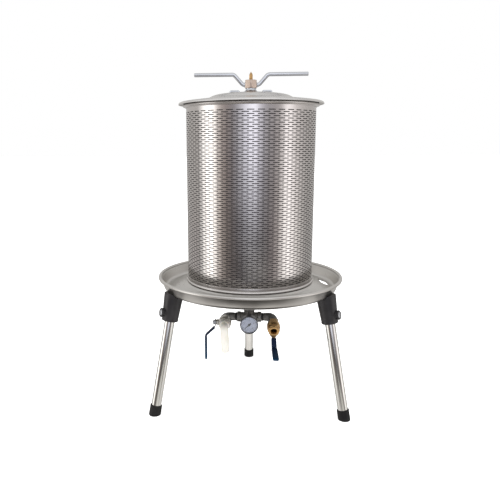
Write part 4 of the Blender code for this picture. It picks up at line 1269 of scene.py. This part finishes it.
# The room round the press, from overhead down to the floor in front. Each ring starts with the
# sine of its elevation. Its stops hold an azimuth from straight ahead of the camera's side,
# positive to the right, and a radiance. Every ring closes on its first colour at 180 degrees.
# Soft boxes stand on the far left and the right, and the room between them is darker below
STUDIO_RINGS = [
    (0.90, [(-180, 0.95, 0.95, 0.95)]),
    (0.50, [(-180, 0.66, 0.65, 0.64), (-110, 0.80, 0.80, 0.80), (0, 1.40, 1.40, 1.43),
            (110, 0.80, 0.80, 0.80)]),
    (0.20, [(-180, 0.70, 0.69, 0.67), (-120, 0.90, 0.88, 0.86), (-94, 1.30, 1.28, 1.26),
            (-73, 1.90, 1.88, 1.85), (-56, 0.60, 0.56, 0.54), (-30, 0.50, 0.48, 0.50),
            (0, 1.50, 1.52, 1.62), (30, 0.60, 0.58, 0.60), (64, 1.00, 0.97, 0.97),
            (84, 0.76, 0.73, 0.72), (120, 0.85, 0.83, 0.81)]),
    (0.03, [(-180, 0.60, 0.59, 0.58), (-114, 0.65, 0.63, 0.61), (-101, 0.56, 0.54, 0.53),
            (-93, 1.79, 1.77, 1.75), (-69, 2.90, 2.87, 2.83), (-62, 1.36, 1.28, 1.23),
            (-54, 0.66, 0.58, 0.55), (-42, 0.38, 0.32, 0.31), (-30, 0.32, 0.30, 0.32),
            (-18, 0.76, 0.76, 0.85), (-7, 1.40, 1.43, 1.62), (7, 1.98, 2.02, 2.28),
            (17, 0.88, 0.87, 0.99), (29, 0.50, 0.48, 0.51), (42, 0.45, 0.415, 0.43),
            (54, 0.67, 0.63, 0.63), (64, 1.88, 1.82, 1.84), (74, 1.69, 1.63, 1.64),
            (84, 1.04, 0.99, 0.98), (100, 0.76, 0.73, 0.72), (116, 0.62, 0.60, 0.585)]),
    (-0.21, [(-180, 0.58, 0.57, 0.55), (-114, 0.58, 0.55, 0.54), (-99, 0.50, 0.485, 0.475),
             (-91, 1.55, 1.52, 1.49), (-69, 2.90, 2.87, 2.81), (-62, 1.29, 1.22, 1.16),
             (-54, 0.66, 0.58, 0.53), (-44, 0.255, 0.22, 0.195), (-30, 0.133, 0.114, 0.11),
             (-12, 0.072, 0.065, 0.065), (0, 0.125, 0.121, 0.121), (10, 0.145, 0.14, 0.14),
             (24, 0.122, 0.113, 0.113), (36, 0.203, 0.175, 0.175), (50, 0.57, 0.51, 0.50),
             (63, 1.69, 1.64, 1.61), (72, 2.10, 2.05, 2.04), (84, 1.475, 1.425, 1.40),
             (100, 0.90, 0.87, 0.845), (120, 0.525, 0.51, 0.50)]),
    (-0.36, [(-180, 0.60, 0.59, 0.58), (-104, 0.60, 0.58, 0.56), (-92, 1.60, 1.58, 1.55),
             (-70, 1.60, 1.58, 1.55), (-58, 0.45, 0.42, 0.40), (-46, 0.24, 0.22, 0.21),
             (-14, 0.22, 0.20, 0.19), (-4, 0.80, 0.78, 0.73), (30, 0.95, 0.93, 0.88),
             (38, 0.36, 0.34, 0.33), (56, 0.34, 0.32, 0.31), (66, 1.25, 1.23, 1.20),
             (92, 1.25, 1.23, 1.20), (110, 0.60, 0.58, 0.56)]),
    (-0.70, [(-180, 0.70, 0.69, 0.67), (-60, 0.95, 0.92, 0.90), (-30, 1.65, 1.61, 1.56),
             (0, 0.85, 0.82, 0.79), (30, 1.65, 1.61, 1.56), (60, 0.95, 0.92, 0.90)]),
    (-0.95, [(-180, 0.06, 0.055, 0.05)]),
]


def build_world():
    world = bpy.data.worlds.new("studio")
    bpy.context.scene.world = world
    world.use_nodes = True
    world.node_tree.nodes.clear()
    graph = Graph(world.node_tree)
    split = graph.node("SeparateXYZ")
    graph.feed(split.inputs[0], graph.node("TexCoord").outputs["Generated"])
    x, y, height = split.outputs
    azimuth = graph.maths("ARCTAN2", x, graph.maths("MULTIPLY", y, -1))
    share = graph.span(azimuth, -math.pi, math.pi)
    peak = max(max(colour) for _, ring in STUDIO_RINGS for _, *colour in ring)

    def ring_colour(ring):
        ramp = graph.node("ValToRGB")
        stops = ramp.color_ramp.elements
        for index, (angle, *colour) in enumerate(ring + [(180, *ring[0][1:])]):
            if index in (0, len(ring)):
                stop = stops[index]
            else:
                stop = stops.new((angle + 180) / 360)
            stop.color = (*[channel / peak for channel in colour], 1)
        graph.feed(ramp.inputs["Fac"], share)
        return ramp.outputs["Color"]

    colour = ring_colour(STUDIO_RINGS[0][1])
    for (above, _), (level, ring) in zip(STUDIO_RINGS, STUDIO_RINGS[1:]):
        step = graph.span(height, above, level, interpolation_type="SMOOTHSTEP")
        colour = graph.blend(step, colour, ring_colour(ring))
    choose = graph.node("MixShader")
    graph.feed(choose.inputs[0], graph.node("LightPath").outputs["Is Camera Ray"])
    for socket, shown, strength in ((choose.inputs[1], colour, peak),
                                    (choose.inputs[2], (1, 1, 1, 1), 1)):
        background = graph.node("Background")
        graph.feed(background.inputs["Color"], shown)
        graph.feed(background.inputs["Strength"], strength)
        graph.feed(socket, background.outputs[0])
    graph.feed(graph.node("OutputWorld").inputs[0], choose.outputs[0])


def build_floor():
    look = Finish("floor", 0.65, 0, Emission_Color=(1, 1, 1, 1),
                  Emission_Strength=0.60)
    mottle = look.noise(1.5, 3)
    look.colour(look.blend(mottle, (0.90, 0.90, 0.90), (0.92, 0.92, 0.92)))
    mesh = bpy.data.meshes.new("floor")
    reach = 30.0
    mesh.from_pydata([(-reach, -reach, 0), (reach, -reach, 0), (reach, reach, 0),
                      (-reach, reach, 0)], [], [(0, 1, 2, 3)])
    mesh.materials.append(look.material)
    floor = linked("floor", mesh)
    floor.visible_glossy = False


def build_lights():
    data = bpy.data.lights.new("ceiling_soft_box", "AREA")
    data.shape = "DISK"
    data.size = 2.4
    data.energy = 60.0
    light = linked("ceiling_soft_box", data)
    light.visible_glossy = False
    light.matrix_world = Matrix.Translation((0, -0.5, 2.6))


def main():
    build_camera()
    build_tray()
    build_basket()
    build_lid()
    build_centre()
    build_handle()
    build_vent()
    for name, azimuth in LEG_AZIMUTHS.items():
        build_leg(name, azimuth)
    build_manifold()
    build_world()
    build_floor()
    build_lights()
    bpy.context.scene.view_settings.view_transform = "Standard"


main()
